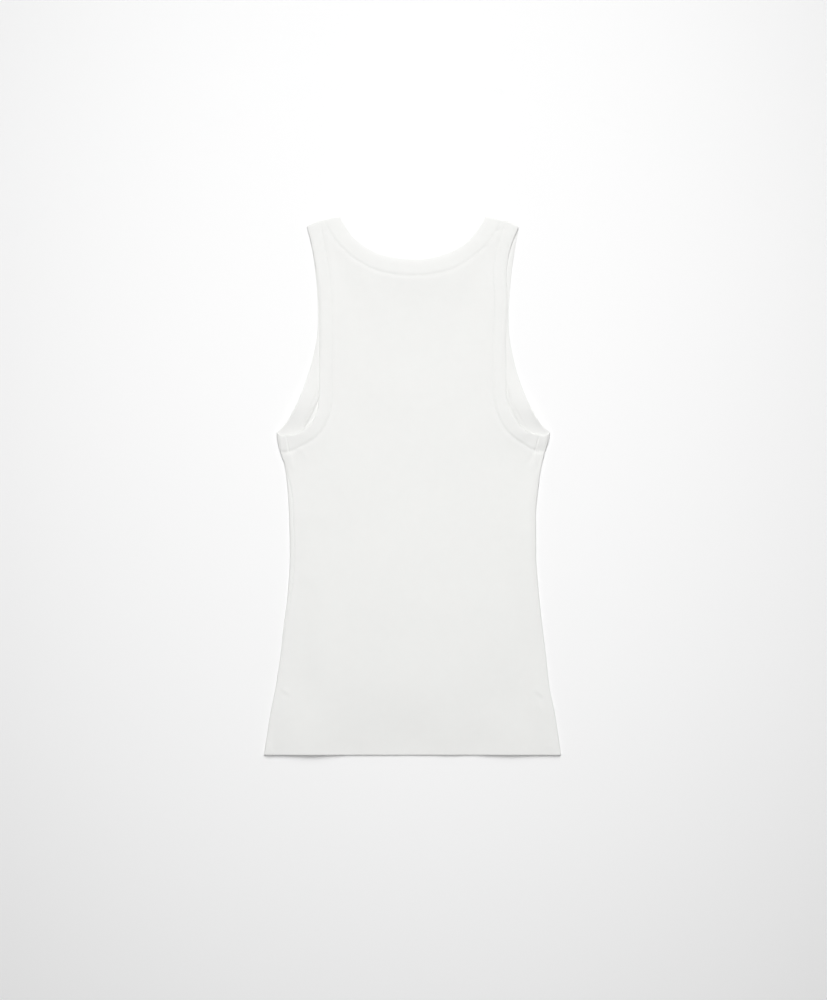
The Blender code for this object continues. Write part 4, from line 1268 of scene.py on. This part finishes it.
def knit_material(name, colour, wale, course, rib_depth, bump, single=False):
    """Fine 1x1 rib: raised wales of small V stitches."""
    m = bpy.data.materials.new(name)
    m.use_nodes = True
    tree = m.node_tree
    n = Nodes(tree)
    shader = principled(m)
    uv = n.add("ShaderNodeUVMap", uv_map="UVMap").outputs["UV"]
    sep = n.add("ShaderNodeSeparateXYZ")
    n.link(uv, sep.inputs[0])
    # the UV map is the cloth in units of 0.1 m; here it becomes millimetres
    u = n.math("MULTIPLY", sep.outputs["X"], 100.0)
    v = n.math("MULTIPLY", sep.outputs["Y"], 100.0)
    obj = n.add("ShaderNodeTexCoord").outputs["Object"]
    # the wales wander a little
    drift = n.noise(obj, 34.0, 1.0)
    u = n.math("ADD", u, n.math("MULTIPLY", n.math("SUBTRACT", drift, 0.5), 0.9))
    phase = n.math("FRACT", n.math("DIVIDE", u, wale))
    off = n.math("ABSOLUTE", n.math("SUBTRACT", phase, 0.5))          # 0 in the middle of a wale, 0.5 between wales
    ridge = n.math("COSINE", n.math("MULTIPLY", off, math.pi))         # 1 on the wale, 0 between
    ridge = n.math("POWER", n.math("MAXIMUM", ridge, 0.0), 0.75)
    slant = n.math("MULTIPLY", off, 1.1)
    stitch = n.math("SINE", n.math("MULTIPLY", n.math("SUBTRACT", n.math("DIVIDE", v, course), slant), 2 * math.pi))
    stitch = n.math("MULTIPLY_ADD", stitch, 0.5, 0.5)
    yarn = n.math("MULTIPLY_ADD", stitch, rib_depth, 1.0 - rib_depth)
    height = n.math("MULTIPLY", ridge, yarn)
    fuzz = n.noise(obj, 5200.0, 3.0, 0.65)
    height = n.math("ADD", height, n.math("MULTIPLY", fuzz, 0.22))
    mid = n.noise(obj, 260.0, 3.0, 0.6)
    height = n.math("ADD", height, n.math("MULTIPLY", mid, 0.35))
    node = n.add("ShaderNodeBump")
    node.inputs["Strength"].default_value = 1.0
    node.inputs["Distance"].default_value = bump
    n.link(height, node.inputs["Height"])
    n.link(node.outputs["Normal"], shader.inputs["Normal"])
    # colour: painted shade of the rib's relief, lighter on the yarn and a touch darker between the wales; a faint
    # cloudiness
    large = n.noise(obj, 9.0, 2.0)
    slub = n.noise(obj, 95.0, 2.0)
    shade = n.math("MULTIPLY_ADD", height, 0.035, 0.972)
    shade = n.math("MULTIPLY", shade, n.math("MULTIPLY_ADD", n.math("SUBTRACT", large, 0.5), 0.022, 1.0))
    shade = n.math("MULTIPLY", shade, n.math("MULTIPLY_ADD", n.math("SUBTRACT", slub, 0.5), 0.020, 1.0))
    # painted shade: where the back lies as one layer it is drawn 0.4 % darker, a light effect of the thin cloth over
    # the surface, not its colour
    if single:
        attr = n.add("ShaderNodeAttribute", attribute_type="GEOMETRY", attribute_name="single").outputs["Fac"]
        shade = n.math("MULTIPLY", shade, n.math("MULTIPLY_ADD", attr, -0.004, 1.0))
    base = n.add("ShaderNodeMix", data_type="RGBA", blend_type="MULTIPLY")
    base.inputs[0].default_value = 1.0
    base.inputs[6].default_value = (*colour, 1.0)
    grey = n.add("ShaderNodeCombineColor")
    for i in range(3):
        n.link(shade, grey.inputs[i])
    n.link(grey.outputs[0], base.inputs[7])
    n.link(base.outputs[2], shader.inputs["Base Color"])
    rough = n.math("MULTIPLY_ADD", mid, 0.10, 0.86)
    n.link(rough, shader.inputs["Roughness"])
    shader.inputs["Metallic"].default_value = 0.0
    shader.inputs["IOR"].default_value = 1.45
    shader.inputs["Specular IOR Level"].default_value = 0.30
    shader.inputs["Sheen Weight"].default_value = 0.18
    shader.inputs["Sheen Roughness"].default_value = 0.45
    shader.inputs["Sheen Tint"].default_value = (1.0, 0.995, 0.98, 1.0)
    return m


def thread_material(name, colour):
    m = bpy.data.materials.new(name)
    m.use_nodes = True
    n = Nodes(m.node_tree)
    shader = principled(m)
    obj = n.add("ShaderNodeTexCoord").outputs["Object"]
    twist = n.add("ShaderNodeTexWave", wave_type="BANDS", bands_direction="DIAGONAL")
    twist.inputs["Scale"].default_value = 900.0
    twist.inputs["Distortion"].default_value = 1.5
    n.link(obj, twist.inputs["Vector"])
    # painted shade: the grooves of the twist are drawn 7 % darker, on the same bands that drive the bump
    ramp = n.add("ShaderNodeMix", data_type="RGBA")
    ramp.inputs[6].default_value = (*[c * 0.93 for c in colour], 1.0)
    ramp.inputs[7].default_value = (*colour, 1.0)
    n.link(twist.outputs["Fac"], ramp.inputs[0])
    n.link(ramp.outputs[2], shader.inputs["Base Color"])
    bump = n.add("ShaderNodeBump")
    bump.inputs["Strength"].default_value = 0.5
    bump.inputs["Distance"].default_value = 0.00006
    n.link(twist.outputs["Fac"], bump.inputs["Height"])
    n.link(bump.outputs["Normal"], shader.inputs["Normal"])
    shader.inputs["Roughness"].default_value = 0.62
    shader.inputs["Sheen Weight"].default_value = 0.12
    return m


def floor_material():
    m = bpy.data.materials.new("studio_floor")
    m.use_nodes = True
    n = Nodes(m.node_tree)
    shader = principled(m)
    obj = n.add("ShaderNodeTexCoord").outputs["Object"]
    cloud = n.noise(obj, 1.4, 2.0)
    mix = n.add("ShaderNodeMix", data_type="RGBA")
    mix.inputs[6].default_value = (0.880, 0.880, 0.880, 1.0)
    mix.inputs[7].default_value = (0.895, 0.895, 0.895, 1.0)
    n.link(cloud, mix.inputs[0])
    n.link(mix.outputs[2], shader.inputs["Base Color"])
    shader.inputs["Roughness"].default_value = 0.95
    shader.inputs["Specular IOR Level"].default_value = 0.1
    return m


BODY_COLOUR = (0.822, 0.824, 0.809)
BAND_COLOUR = (0.830, 0.832, 0.817)
body_knit = knit_material("body_knit", BODY_COLOUR, 0.98, 0.66, 0.30, 0.00012, single=True)
band_knit = knit_material("band_knit", BAND_COLOUR, 0.98, 0.66, 0.30, 0.00012)
arm_knit = knit_material("arm_knit", BODY_COLOUR, 0.98, 0.66, 0.30, 0.00012)
seam_knit = knit_material("seam_knit", BODY_COLOUR, 0.98, 0.66, 0.30, 0.00012)
thread = thread_material("overlock_thread", (0.84, 0.84, 0.82))

# ------------------------------------------------------------------ pieces
back, back_area, back_size, back_faces = build_back(body_knit)
front, front_area, front_size, front_faces = build_front(body_knit)
print("back area m2", back_area, "size", back_size, "faces", back_faces)
print("front area m2", front_area, "size", front_size, "faces", front_faces)

bands = {}
for _key, _name in (("neck", "neck_binding"), ("left", "arm_binding_left"), ("right", "arm_binding_right")):
    _grid, _uv = band_mesh(rings[_key])
    bands[_key] = ring_object(_name, _grid, _uv, band_knit if _key == "neck" else arm_knit)
    print(_name, "length", rings[_key].length)

extras = []
for _key in ("neck", "left", "right"):
    _grid, _uv = allowance_mesh(rings[_key])
    extras.append(ring_object("allowance_" + _key, _grid, _uv, seam_knit))
    extras.append(overlock_threads(rings[_key], "overlock_" + _key, thread))

for _obj in [back, front, *bands.values(), *extras]:
    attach(_obj, "root")
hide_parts("back_panel")
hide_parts("front_panel")
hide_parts("neck_band")
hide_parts("arm_band_left")
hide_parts("arm_band_right")

# ------------------------------------------------------------------ stage
floor_mesh = bpy.data.meshes.new("floor")
_h = 7.0
floor_mesh.from_pydata([(-_h, -_h, -0.0002), (_h, -_h, -0.0002), (_h, _h, -0.0002), (-_h, _h, -0.0002)], [], [(0, 1, 2, 3)])
floor_mesh.materials.append(floor_material())
floor = bpy.data.objects.new("floor", floor_mesh)
bpy.context.scene.collection.objects.link(floor)


def area_light(name, where, aim, size, size_y, power, spread=180.0):
    data = bpy.data.lights.new(name, "AREA")
    data.shape = "RECTANGLE"
    data.size, data.size_y = size, size_y
    data.energy = power
    data.spread = math.radians(spread)
    obj = bpy.data.objects.new(name, data)
    bpy.context.scene.collection.objects.link(obj)
    obj.location = where
    obj.rotation_euler = (Vector(aim) - Vector(where)).to_track_quat("-Z", "Y").to_euler()
    obj.visible_camera = False
    return obj


# a softbox beyond the shoulders, turned down on the cloth, and a weaker one overhead
area_light("key_softbox", (0.0, 1.75, 1.95), (0.0, -0.273, 0.0), 1.4, 2.2, 20.7, 87.8)
area_light("overhead_softbox", (0.0, -0.187, 1.395), (0.0, -0.187, 0.0), 1.3, 1.3, 9.03)
world = bpy.data.worlds.new("studio")
world.use_nodes = True
world.node_tree.nodes["Background"].inputs["Color"].default_value = (1.0, 1.0, 1.0, 1.0)
world.node_tree.nodes["Background"].inputs["Strength"].default_value = 0.054
bpy.context.scene.world = world

camera_data = bpy.data.cameras.new("camera")
camera_data.sensor_width = 36.0
camera_data.lens = 96.43
camera_data.clip_start, camera_data.clip_end = 0.05, 40.0
camera = bpy.data.objects.new("camera", camera_data)
bpy.context.scene.collection.objects.link(camera)
camera.location = (0.00168, -0.0154, 3.0)
camera.rotation_euler = (0.0, 0.0, 0.0)
bpy.context.scene.camera = camera
bpy.context.scene.view_settings.view_transform = "Standard"
bpy.context.scene.view_settings.look = "None"
bpy.context.scene.view_settings.exposure = 0.0
bpy.context.scene.view_settings.gamma = 1.0
